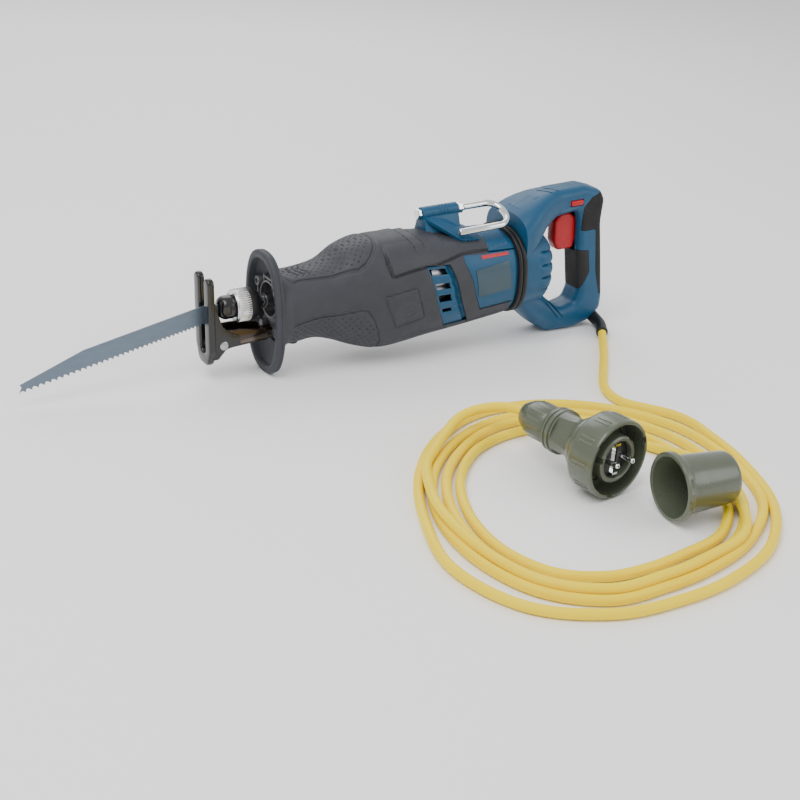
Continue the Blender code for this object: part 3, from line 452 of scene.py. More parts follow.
def rounded(corners, steps=6):
    """Outline with a round of radius r at each corner (a, b, r)."""
    points = []
    count = len(corners)
    for i, (a, b, r) in enumerate(corners):
        here = Vector((a, b))
        before = Vector(corners[i - 1][:2]) - here
        after = Vector(corners[(i + 1) % count][:2]) - here
        if r <= 0:
            points.append(here)
            continue
        half = before.angle(after) / 2
        span = min(r / math.tan(half), before.length * 0.48, after.length * 0.48)
        radius = span * math.tan(half)
        centre = here + (before.normalized() + after.normalized()).normalized() * (radius / math.sin(half))
        first = here + before.normalized() * span - centre
        last = here + after.normalized() * span - centre
        sweep = math.atan2(first.x * last.y - first.y * last.x, first.dot(last))
        for k in range(steps + 1):
            points.append(centre + Matrix.Rotation(sweep * k / steps, 2) @ first)
    return points


PLANES = {"XZ": Matrix.Rotation(math.pi / 2, 4, "X"),
          "YZ": Matrix.Rotation(math.pi / 2, 4, "Z") @ Matrix.Rotation(math.pi / 2, 4, "X")}


def slab(outlines, low, high, edge=0.0, steps=3, plane="XZ", grow=0.0):
    """Flat solid between low and high across the plane, its edges rounded; later outlines are holes."""
    curve = bpy.data.curves.new("outline", "CURVE")
    curve.dimensions = "2D"
    curve.fill_mode = "BOTH"
    curve.extrude = (high - low) / 2 - edge + grow
    curve.bevel_depth = edge
    curve.bevel_resolution = steps
    curve.offset = grow - edge
    for number, outline in enumerate(outlines):
        outline = list(outline)
        area = sum(a[0] * b[1] - b[0] * a[1] for a, b in zip(outline, outline[1:] + outline[:1]))
        if (area < 0) != (number > 0):
            outline.reverse()
        add_spline(curve, [(a, b, 0) for a, b in outline]).use_cyclic_u = True
    mesh = welded(baked(placed("outline", curve)))
    mesh.transform(PLANES[plane])
    middle = (low + high) / 2
    mesh.transform(Matrix.Translation((0, middle, 0) if plane == "XZ" else (middle, 0, 0)))
    return mesh


def box(x0, x1, y0, y1, z0, z1, bevel=0.0, segments=3):
    bm = bmesh.new()
    bmesh.ops.create_cube(bm, size=1.0)
    bmesh.ops.scale(bm, verts=bm.verts, vec=(x1 - x0, y1 - y0, z1 - z0))
    bmesh.ops.translate(bm, verts=bm.verts, vec=((x0 + x1) / 2, (y0 + y1) / 2, (z0 + z1) / 2))
    if bevel:
        bmesh.ops.bevel(bm, geom=bm.edges, offset=bevel, segments=segments, affect="EDGES", profile=0.5)
    return to_mesh(bm)


def signed_power(value, power):
    return math.copysign(abs(value) ** power, value)


def loft(stations, sides=72, power=SECTION_POWER):
    """Closed solid through superellipses (x, centre z, half width, half height)."""
    bm = bmesh.new()
    rings = []
    for x, centre_z, half_w, half_h in stations:
        ring = []
        for k in range(sides):
            t = 2 * math.pi * k / sides
            ring.append(bm.verts.new((x, half_w * signed_power(math.cos(t), 2 / power),
                                      centre_z + half_h * signed_power(math.sin(t), 2 / power))))
        rings.append(ring)
    return bridged(bm, rings)


def combine(base, operation, *meshes):
    """Exact boolean of the base mesh with the others, in turn."""
    obj = helper(base)
    others = []
    for mesh in meshes:
        other = helper(mesh)
        others.append(other)
        step = obj.modifiers.new("step", "BOOLEAN")
        step.operation = operation
        step.solver = "EXACT"
        step.object = other
    mesh = baked(obj)
    for other in others:
        bpy.data.objects.remove(other, do_unlink=True)
    return mesh


def tube(points, radii, resolution=6):
    """Round bar through the points, with one radius or one for each point."""
    curve = round_curve("tube", 1.0, resolution)
    for i, knot in enumerate(add_spline(curve, points).points):
        knot.radius = radii if isinstance(radii, (int, float)) else radii[i]
    return welded(baked(placed("tube", curve)))


# ---- body surface ----
# along the saw: x, centre z, half width, half height of the body's superellipse
BODY = [(74, -9.7, 34, 36), (90, -9.7, 33.5, 35.5), (110, -8.5, 33.8, 35.5), (130, -9.3, 36.5, 40.2),
        (150, -8.2, 40.8, 50.3), (168, -8.8, 42.6, 55.7), (185, -10.5, 43, 57.5), (205, -10.5, 43, 57),
        (236, -10.7, 43, 53.6), (270, -11.6, 43, 50), (320, -11.4, 42.6, 45.8), (345, -10.7, 41.8, 43.6),
        (372, -10.5, 40.5, 42), (386, -10.5, 37, 38.5)]


def body_section(x):
    """Centre z, half width and half height of the body at x, on a smooth curve through BODY."""
    rows = [BODY[0]] + BODY + [BODY[-1]]
    for a, b, c, d in zip(rows, rows[1:], rows[2:], rows[3:]):
        if x <= c[0] or c is BODY[-1]:
            break
    t = (x - b[0]) / (c[0] - b[0])
    values = []
    for k in (1, 2, 3):
        slope_b = (c[k] - a[k]) / max(c[0] - a[0], 1.0) * (c[0] - b[0])
        slope_c = (d[k] - b[k]) / max(d[0] - b[0], 1.0) * (c[0] - b[0])
        values.append((2 * t ** 3 - 3 * t * t + 1) * b[k] + (t ** 3 - 2 * t * t + t) * slope_b
                      + (3 * t * t - 2 * t ** 3) * c[k] + (t ** 3 - t * t) * slope_c)
    return values


def on_section(section, turn, lift=0.0):
    """y, z at `turn` degrees round a superellipse: 0 on the near side, 90 on top, -90 below."""
    centre_z, half_w, half_h = section
    c = math.cos(math.radians(turn))
    s = math.sin(math.radians(turn))
    y = -signed_power(c, 2 / SECTION_POWER)
    z = signed_power(s, 2 / SECTION_POWER)
    out = Vector((signed_power(y, SECTION_POWER - 1) / half_w, signed_power(z, SECTION_POWER - 1) / half_h))
    out.normalize()
    return y * half_w + out.x * lift, centre_z + z * half_h + out.y * lift


MIDDLE_SECTION = (0, 43, 54)


def arc_table():
    """Arc length from the side to each half degree, on the body's middle section."""
    lengths = [0.0]
    before = Vector(on_section(MIDDLE_SECTION, 0))
    for k in range(1, 181):
        here = Vector(on_section(MIDDLE_SECTION, k / 2))
        lengths.append(lengths[-1] + (here - before).length)
        before = here
    return lengths


ARC = arc_table()


def arc(turn):
    """Millimetres round the body for `turn` degrees; straight on past the top and the bottom."""
    if abs(turn) > 90:
        return math.copysign(ARC[180] + 2 * (abs(turn) - 90), turn)
    steps = min(abs(turn) * 2, 179.999)
    low = int(steps)
    return math.copysign(ARC[low] + (ARC[low + 1] - ARC[low]) * (steps - low), turn)


def lines(keys, spacing, measure=lambda value: value):
    """The keys with even steps between them."""
    made = []
    for low, high in zip(keys, keys[1:]):
        count = max(1, round(abs(measure(high) - measure(low)) / spacing))
        for k in range(count):
            made.append(low + (high - low) * k / count)
    return made + [keys[-1]]


def ease(value, low, high):
    """0 below low, 1 above high, smooth between."""
    t = min(1.0, max(0.0, (value - low) / (high - low)))
    return t * t * (3 - 2 * t)


def slant(column, turn):
    """The body's windows lean: how far back a column line lies at this turn."""
    back = min(28.0, max(0.0, 0.36 * (30 - turn)))
    return back * ease(column, 150, 220) * (1 - ease(column, 275, 330))


def fold(turn):
    """The far side repeats the near side."""
    if turn > 90:
        return 180 - turn
    return -180 - turn if turn < -90 else turn


def reach(outline, point):
    """Distance from the outline of a closed polygon, negative inside."""
    best = 1e9
    inside = False
    px, py = point
    ax, ay = outline[-1]
    for bx, by in outline:
        dx, dy = bx - ax, by - ay
        t = ((px - ax) * dx + (py - ay) * dy) / (dx * dx + dy * dy)
        t = min(1.0, max(0.0, t))
        gap = math.hypot(px - ax - t * dx, py - ay - t * dy)
        best = min(best, gap)
        if (ay > py) != (by > py) and px < ax + (py - ay) * dx / dy:
            inside = not inside
        ax, ay = bx, by
    return -best if inside else best


def groove(distance, half_width):
    """1 on the line, 0 at half_width from it."""
    t = distance / half_width
    return (1 - t * t) ** 2 if abs(t) < 1 else 0.0


def flat(outline):
    """Outline in (x, degrees) turned to (x, arc length)."""
    return [(x, arc(turn)) for x, turn in outline]


def skin_mesh(columns, turns, lift, kept, thick):
    """A closed shell on the body's surface: columns along it, turns round it, lift outwards."""
    bm = bmesh.new()
    grid = []
    for column in columns:
        ring = []
        for turn in turns:
            side = fold(turn)
            x = column + slant(column, side)
            y, z = on_section(body_section(x), turn, lift(column, x, side))
            ring.append(bm.verts.new((x, y, z)))
        grid.append(ring)
    count = len(turns)
    for i in range(len(columns) - 1):
        middle = (columns[i] + columns[i + 1]) / 2
        for k in range(count):
            j = (k + 1) % count
            after = turns[j] if j else turns[0] + 360
            if kept(middle, fold((turns[k] + after) / 2)):
                bm.faces.new((grid[i][k], grid[i + 1][k], grid[i + 1][j], grid[i][j]))
    loose = [vert for vert in bm.verts if not vert.link_faces]
    bmesh.ops.delete(bm, geom=loose, context="VERTS")
    bmesh.ops.recalc_face_normals(bm, faces=bm.faces)
    return walled(bm, thick)


def round_turns(keys, spacing):
    """Turns all round the body, with lines on the keys of both sides."""
    near = lines([-90] + keys + [90], spacing, arc)
    return near[:-1] + [180 - turn for turn in near[:0:-1]]


# ---- boot ----
WINDOW_LOW, WINDOW_HIGH = -48.0, 30.0      # the vent window, degrees
WINDOW_FRONT, WINDOW_BACK = 225.0, 254.0
BADGE_FRONT = 271.0                        # where the side of the boot ends
BADGE_LOW, BADGE_HIGH = -27.0, 42.0
TOP_BACK = 302.0
BOTTOM_BACK = 330.0
UPPER_PAD = flat([(88, 59), (95, 61), (135, 50), (152, 41), (160, 45), (167, 53), (175, 67), (179, 82),
                  (179, 98), (60, 98)])
LOWER_PAD = flat([(70, -20), (79, -12), (88, -9), (130, -5), (153, -3), (159, -4), (163, -8), (167, -15),
                  (176, -42), (178, -98), (70, -98)])
BLOCK = flat([(184, 39), (187, 24), (242, 33), (258, 39), (271, 45), (306, 46), (306, 98), (186, 98)])
EMBLEM = flat([(178, 4), (213, 7), (222, -17), (191, -21)])
EMBLEM_MIDDLE = (201, -7)
STEPS = [(216, 46), (229, 52), (254, 57)]
PIT_PITCH = 7.2
PIT_R = 1.25


def pit(x, around):
    """Depth of the dimples at a place on a pad."""
    row = round(around / (PIT_PITCH * 0.6))
    shift = PIT_PITCH / 2 if row % 2 else 0.0
    column = round((x - shift) / PIT_PITCH)
    gap = math.hypot(x - shift - column * PIT_PITCH, around - row * PIT_PITCH * 0.6)
    return groove(gap, PIT_R)


def rubber_kept(column, side):
    """Where there is rubber: not over the vent window, nor past its edge at the badge and the back."""
    if WINDOW_FRONT < column < WINDOW_BACK and WINDOW_LOW < side < WINDOW_HIGH:
        return False
    if side > BADGE_HIGH:
        return column < TOP_BACK
    if side > BADGE_LOW:
        return column < BADGE_FRONT
    return True


def rubber_lift(column, x, side):
    """How far the rubber stands off the body, with its relief."""
    around = arc(side)
    lift = 0.9 * ease(x, 150, 176) - 0.3
    here = (x, around)
    if x < 186:                             # the dimpled pads of the front grip
        for pad in (UPPER_PAD, LOWER_PAD):
            gap = reach(pad, here)
            if gap < 5:
                lift += 0.35 * ease(-gap, -0.5, 1.0) - 1.3 * groove(gap, 1.3) - 0.6 * groove(gap - 3.2, 1.1)
                if gap < -3.5:
                    lift -= 1.6 * pit(x, around)
    if x > 178 and side > 15:               # the raised block along the top
        gap = reach(BLOCK, here)
        fade = 1 - ease(side, 46, 74)
        lift += 2.4 * ease(-gap, -0.3, 0.9) * max(fade, 0.12) - 1.5 * groove(gap - 1.4, 1.6) * fade
    if side > 44:                           # its overlapping steps
        for line, low in STEPS:
            line += 0.12 * (90 - side) - 4
            before = line - x
            if 0 <= before < 12:
                lift += 1.3 * (1 - before / 12) * ease(side, low, low + 12)
            lift -= 1.7 * groove(before + 0.9, 1.6) * ease(side, low, low + 4)
    if 86 < x < 116 and side > 68:          # grooves behind the collar
        for line in (91, 97, 103):
            lift -= 1.3 * groove(x - line - 0.3 * (90 - side), 1.4) * ease(side, 68, 74)
    if 172 < x < 228 and -26 < side < 12:   # the side panel and its plain oval
        gap = reach(EMBLEM, here)
        oval = math.hypot((x - EMBLEM_MIDDLE[0]) / 13, (around - arc(EMBLEM_MIDDLE[1])) / 7.5)
        lift += 0.8 * ease(-gap, -0.5, 0.7) - 0.9 * groove(gap - 1.0, 1.1)
        lift += 0.8 * groove((oval - 1) * 8, 1.4)
    if x > 205 and side < -36:              # the ridge along the lower side
        ridge = around - arc(-41 - 6 * ease(x, 212, 262) + 5 * ease(x, 270, 330))
        lift += (1.3 * groove(ridge, 2.4) - 0.9 * groove(ridge + 3.4, 1.6)) * ease(x, 207, 216)
    return lift


RING_SIDES = 120


def section_rings(rows):
    """Closed ring of material through superellipses, each (x, section)."""
    bm = bmesh.new()
    rings = []
    for x, section in rows:
        rings.append([bm.verts.new((x, *on_section(section, 360 * k / RING_SIDES)))
                      for k in range(RING_SIDES)])
    return bridged(bm, rings, True)


def collar_mesh():
    """The flared rim, turned inwards to the recess, as one closed ring."""
    stations = [(74, -10.5, 29, 33), (70, -12, 29.4, 50), (67.5, -12.4, 29.6, 54), (63.4, -12.4, 30.2, 55),
                (62.4, -12.4, 31, 56), (62, -12.4, 32.6, 58), (62.3, -12.4, 35.2, 60.7),
                (63.2, -12.4, 36.5, 62.2), (64.4, -12.4, 37, 62.7), (66.6, -12.4, 37, 62.7),
                (67.2, -12.4, 36.3, 62), (67.9, -12.4, 36.3, 62), (68.4, -12.4, 36.8, 62.4),
                (70.4, -12.4, 36.5, 62.1), (71.4, -12.2, 35.6, 59.5), (72.2, -11.8, 35, 52),
                (73.4, -11, 34.7, 43), (76, -10.2, 34.2, 37.6), (82, -9.8, 33.2, 35.2), (82, -9.8, 30, 32)]
    return section_rings([(x, section) for x, *section in stations])


RELEASE = (96, 0, -60)


def release_hole():
    """Room for the shoe's release button, through the underside."""
    return turned([(0, 0), (5.4, 0), (5.4, 25), (0, 25)], RELEASE, UP, 40)


def make_boot():
    spacing = 0.95
    columns = lines([77.0, 180.0, WINDOW_FRONT, WINDOW_BACK, BADGE_FRONT, TOP_BACK, BOTTOM_BACK], spacing)
    turns = round_turns([WINDOW_LOW, BADGE_LOW, WINDOW_HIGH, BADGE_HIGH], spacing)
    shell = skin_mesh(columns, turns, rubber_lift, rubber_kept, 3.0)
    shell = combine(shell, "DIFFERENCE", release_hole())
    keep("boot", join(shell, collar_mesh()), "boot_rubber", replaces=["nose_boot"])


# ---- motor housing ----
HOUSING_BACK = 335.9
UNDER_BOOT = -3.4           # the shell's lift where the boot covers it
CLEAR = 0.9
# each slot: front and back column, low and high turn
SLOTS = [(227.5, 249, 18, 25.5), (228.5, 245, 3, 8.5), (229, 243.5, -6.5, -0.5), (229.5, 240, -19.5, -14.5)]
PANEL = flat([(307, 98), (307, 77), (304, 47), (331, 53), (333, 98)])


def in_slot(column, side):
    return any(front < column < back and low < side < high for front, back, low, high in SLOTS)


def bare(column, side):
    """Whether the blue shows through or behind the boot here, clear of the boot's edge."""
    if (WINDOW_FRONT + CLEAR < column < WINDOW_BACK - CLEAR
            and WINDOW_LOW + CLEAR < side < WINDOW_HIGH - CLEAR):
        return True
    if side > BADGE_HIGH + CLEAR:
        return column > TOP_BACK + CLEAR
    if side > BADGE_LOW + CLEAR:
        return column > BADGE_FRONT + CLEAR and side < BADGE_HIGH - CLEAR
    return column > BOTTOM_BACK + CLEAR


def housing_lift(column, x, side):
    """How far the blue shell stands off the body; it is low under the boot and dished round the slots."""
    if not bare(column, side):
        return UNDER_BOOT
    lift = -0.7
    if column < WINDOW_BACK:
        around = arc(side)
        lift = -1.6
        for front, back, low, high in SLOTS:
            lift -= 0.9 * groove(around - arc((low + high) / 2), 5.0) * ease(column, 226, 229)
        return lift - 1.8 * ease(column, 248, 251)
    if side > BADGE_HIGH:
        lift += 1.1 * ease(-reach(PANEL, (x, arc(side))), -0.4, 0.8)
    if column > HOUSING_BACK - 1.5:
        lift -= 0.8
    return lift


def make_motor_housing():
    spacing = 1.2
    edges = sorted({value for low_high in SLOTS for value in low_high[2:]})
    fronts = sorted({value for slot in SLOTS for value in slot[:2]})
    fine = [214.0, WINDOW_FRONT, *fronts, WINDOW_BACK, BADGE_FRONT, TOP_BACK, BOTTOM_BACK, HOUSING_BACK]
    columns = lines([76.0, 214.0], 14.0)[:-1] + lines(fine, spacing)
    turns = round_turns([WINDOW_LOW, BADGE_LOW] + edges + [WINDOW_HIGH, BADGE_HIGH], spacing)
    shell = skin_mesh(columns, turns, housing_lift, lambda column, side: not in_slot(column, side), 2.2)
    shell = combine(shell, "DIFFERENCE", release_hole())
    keep("motor_shell", shell, "blue_shell",
         replaces=["motor_housing", "vent_insert_left", "vent_insert_right"])


PATCH_ALONG, PATCH_ROUND = 24, 14


def patch(name, corners, lift, thick, surface, mirrored):
    """A thin plate on the body's surface between four corners given as (x, degrees)."""
    (ax, at), (bx, bt), (cx, ct), (dx, dt) = corners
    bm = bmesh.new()
    grid = []
    for i in range(PATCH_ALONG + 1):
        u = i / PATCH_ALONG
        row = []
        for j in range(PATCH_ROUND + 1):
            v = j / PATCH_ROUND
            x = (ax * (1 - u) + bx * u) * (1 - v) + (dx * (1 - u) + cx * u) * v
            turn = (at * (1 - u) + bt * u) * (1 - v) + (dt * (1 - u) + ct * u) * v
            turn = 180 - turn if mirrored else turn
            row.append(bm.verts.new((x, *on_section(body_section(x), turn, lift))))
        grid.append(row)
    for low, high in zip(grid, grid[1:]):
        for k in range(PATCH_ROUND):
            bm.faces.new((low[k], high[k], high[k + 1], low[k + 1]))
    bm.faces.ensure_lookup_table()
    bm.normal_update()
    face = bm.faces[len(bm.faces) // 2]
    if face.normal.dot(Vector((0, *face.calc_center_median().yz)) - Vector((0, 0, -10))) < 0:
        bmesh.ops.reverse_faces(bm, faces=bm.faces)
    keep(name, walled(bm, thick), surface)


make_boot()
make_motor_housing()
PLATE = [(284, 18), (325, 25), (328, -6), (288, -8)]
STRIPE = [(293, 37.5), (326, 38.5), (326, 33.5), (293, 32)]
for number, mirrored in enumerate((False, True), 1):
    patch(f"badge_plate_{number}", PLATE, -0.1, 1.0, "plate_grey", mirrored)
    patch(f"red_stripe_{number}", STRIPE, -0.2, 0.8, "red_plastic", mirrored)

# ---- rear: bumper ring, rear housing ----
RING_X = 349                # where the body has the ring's section
RING_BEADS = ((336.4, 340.9), (341.5, 346.4))


def make_rear():
    profile = []
    for start, end in RING_BEADS:
        for k in range(9):
            turn = math.pi * k / 8
            profile.append(((start + end) / 2 - (end - start) / 2 * math.cos(turn),
                            1.3 + 1.8 * math.sin(turn) ** 0.6))
    centre_z, half_w, half_h = body_section(RING_X)
    rows = [(x, (centre_z, half_w + out, half_h + out))
            for x, out in [(336.3, -4.0)] + profile + [(346.5, -4.0)]]
    keep("bumper", section_rings(rows), "black_rubber", replaces=["bumper_ring"])
    keep("rear_cover", rear_shell(), "blue_shell", replaces=["rear_housing"])


LOBE_TOP = 26.0
LOBE_PITCH = 14.0


def rear_shell():
    """The rear cover: smooth at the ring, four puffed lobes with slots between them at the back."""
    bm = bmesh.new()
    rings = []
    columns = lines([347.0, 366.0, 386.0], 1.0)
    turns = round_turns([], 1.2)
    for x in columns:
        ring = []
        section = body_section(x)
        for turn in turns:
            z = on_section(section, turn, -0.6)[1]
            phase = (LOBE_TOP - z) / LOBE_PITCH
            lift = -0.6
            beside = groove(fold(turn), 48.0) ** 0.4 if abs(fold(turn)) < 48 else 0.0
            if -0.2 < phase < 4.2:
                puff = abs(math.sin(math.pi * phase)) ** 0.5
                lift += beside * ease(x, 363, 372) * (1.6 * puff - 5.0 * (1 - puff) ** 2)
            lift -= 5.5 * ease(x, 376, 387) ** 1.6
            ring.append(bm.verts.new((x, *on_section(section, turn, lift))))
        rings.append(ring)
    return bridged(bm, rings)


# ---- handle ----
HANDLE_HALF = 17.0
GAP = 0.3
HANDLE_ROUND = 8.5
HANDLE_OUTER = [(354.2, 20, 0), (354.2, 54.5, 0), (376, 63.5, 30), (398, 67, 40), (438, 67.5, 25),
                (458, 61, 12), (463.5, 50, 12), (461, 26, 40), (465.5, -14, 60), (470.5, -62, 14),
                (469.5, -76, 10), (454, -89, 12), (430, -93.8, 12), (398, -92.1, 16), (383, -82, 14),
                (354.2, -56, 0), (354.2, -30, 0)]
HANDLE_WINDOW = [(380, 24, 0), (400, 38, 14), (427, 41, 4), (430.5, 30, 14), (431.5, 4, 20), (438, -52, 12),
                 (433, -64, 8), (414, -68, 10), (395, -52, 16), (380, -36, 0)]
# how the arms widen towards the motor: x, low z, high z, half width
UPPER_ARM = [(347.2, -10, 50, 39.2), (354.2, -6, 54.3, 38.5), (362, 4, 58, 36.5), (371, 15, 61.5, 32.5),
             (381, 26, 64.6, 27), (392, 33.6, 66.4, 22), (403, 38.6, 67, 18.4), (414, 40.6, 67, 16.6)]
LOWER_ARM = [(347.2, -51.5, -18, 31.5), (354.2, -56, -20, 31), (363, -64, -26, 29.5), (373, -73, -34, 26.5),
             (384, -82.6, -42.5, 22), (396, -91, -54.5, 18.6), (408, -92.4, -66, 16.6)]
REAR_PAD = [(434, 19, 1.5), (434, 45, 2), (444, 55.5, 3), (480, 66, 0), (490, -58, 0), (463.5, -58, 2),
            (456.5, -30, 30), (452, 19, 2)]
PAD_DEPTH = 0.9
TOP_LINES, FOOT_LINES = (388, 397), (401, 407)      # where fine grooves cross the handle
FRONT_PAD = [(425, -3, 0), (444.5, -4, 1.5), (447.5, -29, 3), (438, -49.5, 2), (425, -49.5, 0)]


def arm(stations):
    """A handle arm through stations (x, low z, high z, half width)."""
    rows = [(x, (low + high) / 2, half, (high - low) / 2) for x, low, high, half in stations]
    return loft(rows, power=3.0)


def handle_solid(grow=0.0):
    """The whole handle, both halves, `grow` mm larger all round."""
    grip = slab([rounded(HANDLE_OUTER), rounded(HANDLE_WINDOW)], -HANDLE_HALF, HANDLE_HALF, HANDLE_ROUND, 5,
                grow=grow)
    arms = [arm([(x, low - grow, high + grow, half + grow) for x, low, high, half in stations])
            for stations in (UPPER_ARM, LOWER_ARM)]
    return combine(grip, "UNION", *arms)


def trigger_slot():
    """Room for the trigger, through the grip's front."""
    return box(420, 441.6, -8, 8, -6, 38.5)


def make_handle():
    core = handle_solid(-PAD_DEPTH)
    pads = [slab([rounded(REAR_PAD)], -30, 30), slab([rounded(FRONT_PAD)], -30, 30)]
    cutters = [slab([rounded(pad)], -30, 30, grow=0.35) for pad in (REAR_PAD, FRONT_PAD)]
    for x in TOP_LINES:
        line = box(-0.7, 0.7, -13, 6, 58, 75)
        line.transform(Matrix.Translation((x, 0, 0)) @ Matrix.Rotation(math.radians(28), 4, "Z"))
        cutters.append(line)
    for x in FOOT_LINES:
        line = box(-0.65, 0.65, -40, 40, -13, 13)
        line.transform(Matrix.Translation((x, 0, -66)) @ Matrix.Rotation(math.radians(-40), 4, "Y"))
        cutters.append(line)
    cutters = [combine(cutter, "DIFFERENCE", core.copy()) for cutter in cutters]
    body = combine(handle_solid(), "DIFFERENCE", *cutters, trigger_slot(),
                   box(415.6, 432.9, -25, -3, 48.4, 55.6, 1.0), box(415.6, 432.9, 3, 25, 48.4, 55.6, 1.0))
    for name, side in (("handle_left", -1), ("handle_right", 1)):
        low, high = sorted((-side * 60.0, side * GAP / 2))
        half = combine(body.copy(), "DIFFERENCE", box(340, 480, low, high, -110, 90))
        keep(f"{name}_shell", half, "blue_shell", replaces=[name], sharp=32)
    shell = combine(handle_solid(0.1), "DIFFERENCE", core.copy())
    for name, pad, node in zip(("rear_pad", "front_pad"), pads, ("grip_rear_pad", "grip_front_pad")):
        cover = combine(combine(shell.copy(), "INTERSECT", pad), "DIFFERENCE", trigger_slot())
        keep(name, cover, "soft_grip", replaces=[node], sharp=32)


def make_controls():
    shape = rounded([(404.5, 31, 9), (411, 38.3, 7), (425, 38.3, 6), (432, 32, 6), (433.5, 10, 3),
                     (430, -2.5, 4), (410, -2.5, 6), (404.5, 8, 12)])
    keep("trigger_lever", slab([shape], -7.4, 7.4, 3.4, 4), "red_plastic", "trigger", replaces=["trigger"])
    lock = join(box(416.4, 432.2, -18.4, -12.5, 49.1, 54.9, 1.5), box(418, 430, -12.6, -7.5, 50, 54, 0.5))
    keep("lock_slider", lock, "red_plastic", "lock_button", replaces=["lock_button"])


# ---- hook ----
HOOK_AXIS = (8.0, 59.0)
BARREL_FRONT, BARREL_BACK = 245, 288
HOOK_SLOPE = 0.42
HOOK_WIRE = 7.0
HOOK_BASE_BACK = 297.0
HOOK_BASE_NEAR, HOOK_BASE_FAR = -25.0, 31.0


def body_top(x, y):
    centre_z, half_w, half_h = body_section(x)
    return centre_z + half_h * max(0.0, 1 - abs(y / half_w) ** SECTION_POWER) ** (1 / SECTION_POWER)


def hook_plate_mesh():
    """Arched plate that rises from the housing to the hinge, with ribs that follow its front edge."""
    hinge = HOOK_AXIS[0]
    bm = bmesh.new()
    grid = []
    steps = 48
    for y in lines([HOOK_BASE_NEAR, HOOK_BASE_FAR], 1.0):
        span = (y - hinge) / (HOOK_BASE_FAR - hinge if y > hinge else hinge - HOOK_BASE_NEAR)
        away = min(1.0, abs(span))
        front = 242.0 + 34.0 * away ** 1.4
        row = []
        for k in range(steps + 1):
            x = front + (HOOK_BASE_BACK - front) * k / steps
            rise = 15.0 * (1 - away) ** 1.15 * (1 - ease(x, 264, 298))
            ribs = sum(groove(x - front - run * (1 - 0.35 * away), 1.3) for run in (8.0, 15.0, 22.0))
            row.append(bm.verts.new((x, y, body_top(x, y) + 3.8 + rise - 0.8 * ribs)))
        grid.append(row)
    for low, high in zip(grid, grid[1:]):
        for k in range(steps):
            bm.faces.new((low[k], low[k + 1], high[k + 1], high[k]))
    return walled(bm, 3.6)


def make_hook():
    hy, hz = HOOK_AXIS
    axis = (0, hy, hz)
    front, back = BARREL_FRONT, BARREL_BACK
    barrel = [(3.3, front), (5.8, front), (6.6, front + 0.8)]
    for rib in (21.0, 25.0, 29.0):
        barrel += [(6.6, front + rib - 0.7), (6.0, front + rib), (6.6, front + rib + 0.7)]
    barrel += [(6.6, back - 0.8), (5.8, back), (3.3, back)]
    knuckle = turned(barrel, axis, ALONG, 48)
    foot = rounded([(hy - 13, 38, 0), (hy - 6.2, hz - 1, 5), (hy + 6.2, hz - 1, 5), (hy + 13, 38, 0)])
    web = slab([foot], front + 0.8, back - 0.8, 0.8, 2, "YZ")
    keep("hook_plate", join(hook_plate_mesh(), knuckle, web), "blue_shell", replaces=["hook_base"])
    shaft = [(0, front - 4), (3, front - 4), (3, back + 7), (2.4, back + 7.5), (0, back + 7.5)]
    pin = join(turned(shaft, axis, ALONG, 32), hexagon(front - 4.6, front - 0.4, 5.6))
    keep("hinge_pin", pin, "chrome", "hook", replaces=["hook_pin"])
    bore = [(0, back - 4), (3.2, back - 4), (3.2, back + 12), (0, back + 12)]
    nut = combine(hexagon(back + 0.4, back + 6.2, 5.7), "DIFFERENCE", turned(bore, axis, ALONG, 24))
    keep("hinge_nut", nut, "chrome", "hook", replaces=["hook_nut"])
    route = rounded([(back + 8, hy, 0), (338.0, hy, 15), (336.0, -24.0, 15), (272.0, -25.0, 0)], 14)
    points = [(x, y, hz + (y - hy) * HOOK_SLOPE) for x, y in route]
    ends = [points[0]] + [Vector(points[0]).lerp(points[1], 0.012)] + points[1:-1]
    ends += [Vector(points[-2]).lerp(points[-1], 0.985), points[-1]]
    radii = [HOOK_WIRE / 2 - 0.6] + [HOOK_WIRE / 2] * (len(ends) - 2) + [HOOK_WIRE / 2 - 0.6]
    keep("hook_wire", tube(ends, radii, 8), "chrome", "hook", replaces=["rafter_hook"])


def hexagon(x0, x1, radius):
    """Hexagonal head with bevelled edges on the hook's hinge axis."""
    hy, hz = HOOK_AXIS
    corners = [(hy + radius * math.cos(math.pi * k / 3), hz + radius * math.sin(math.pi * k / 3), 0)
               for k in range(6)]
    return slab([rounded(corners)], x0, x1, 0.5, 2, "YZ")


make_rear()
make_handle()
make_controls()
make_hook()

# ---- blade, chuck, shoe ----
BLADE_LEAN = math.radians(10.5)
BLADE_WIDTH = 19.3
TEETH = 37


def blade_outline():
    back = Vector((-math.cos(BLADE_LEAN), -math.sin(BLADE_LEAN)))
    down = Vector((math.sin(BLADE_LEAN), -math.cos(BLADE_LEAN)))
    root = Vector((9.0, 6.9))

    def at(run, drop):
        return root + back * run + down * drop

    points = [Vector((35.0, 4.2)), Vector((9.5, 4.2)), at(0, 0), at(129, 0), at(194, 11.0), at(192.5, 13.5),
              at(195, 17.5), at(196.5, BLADE_WIDTH)]
    run = 196.5
    for k in range(TEETH):
        pitch = 6.3 - 2.5 * k / (TEETH - 1)
        deep = 3.2 - 1.0 * k / TEETH
        points.append(at(run - pitch * 0.12, BLADE_WIDTH - deep * 0.7))
        points.append(at(run - pitch * 0.34, BLADE_WIDTH - deep))
        points.append(at(run - pitch * 0.58, BLADE_WIDTH - deep * 0.75))
        run -= pitch
        points.append(at(run, BLADE_WIDTH))
    points += [at(4, BLADE_WIDTH), at(0, BLADE_WIDTH - 4), Vector((10.0, -5.0)), Vector((35.0, -5.0))]
    return points


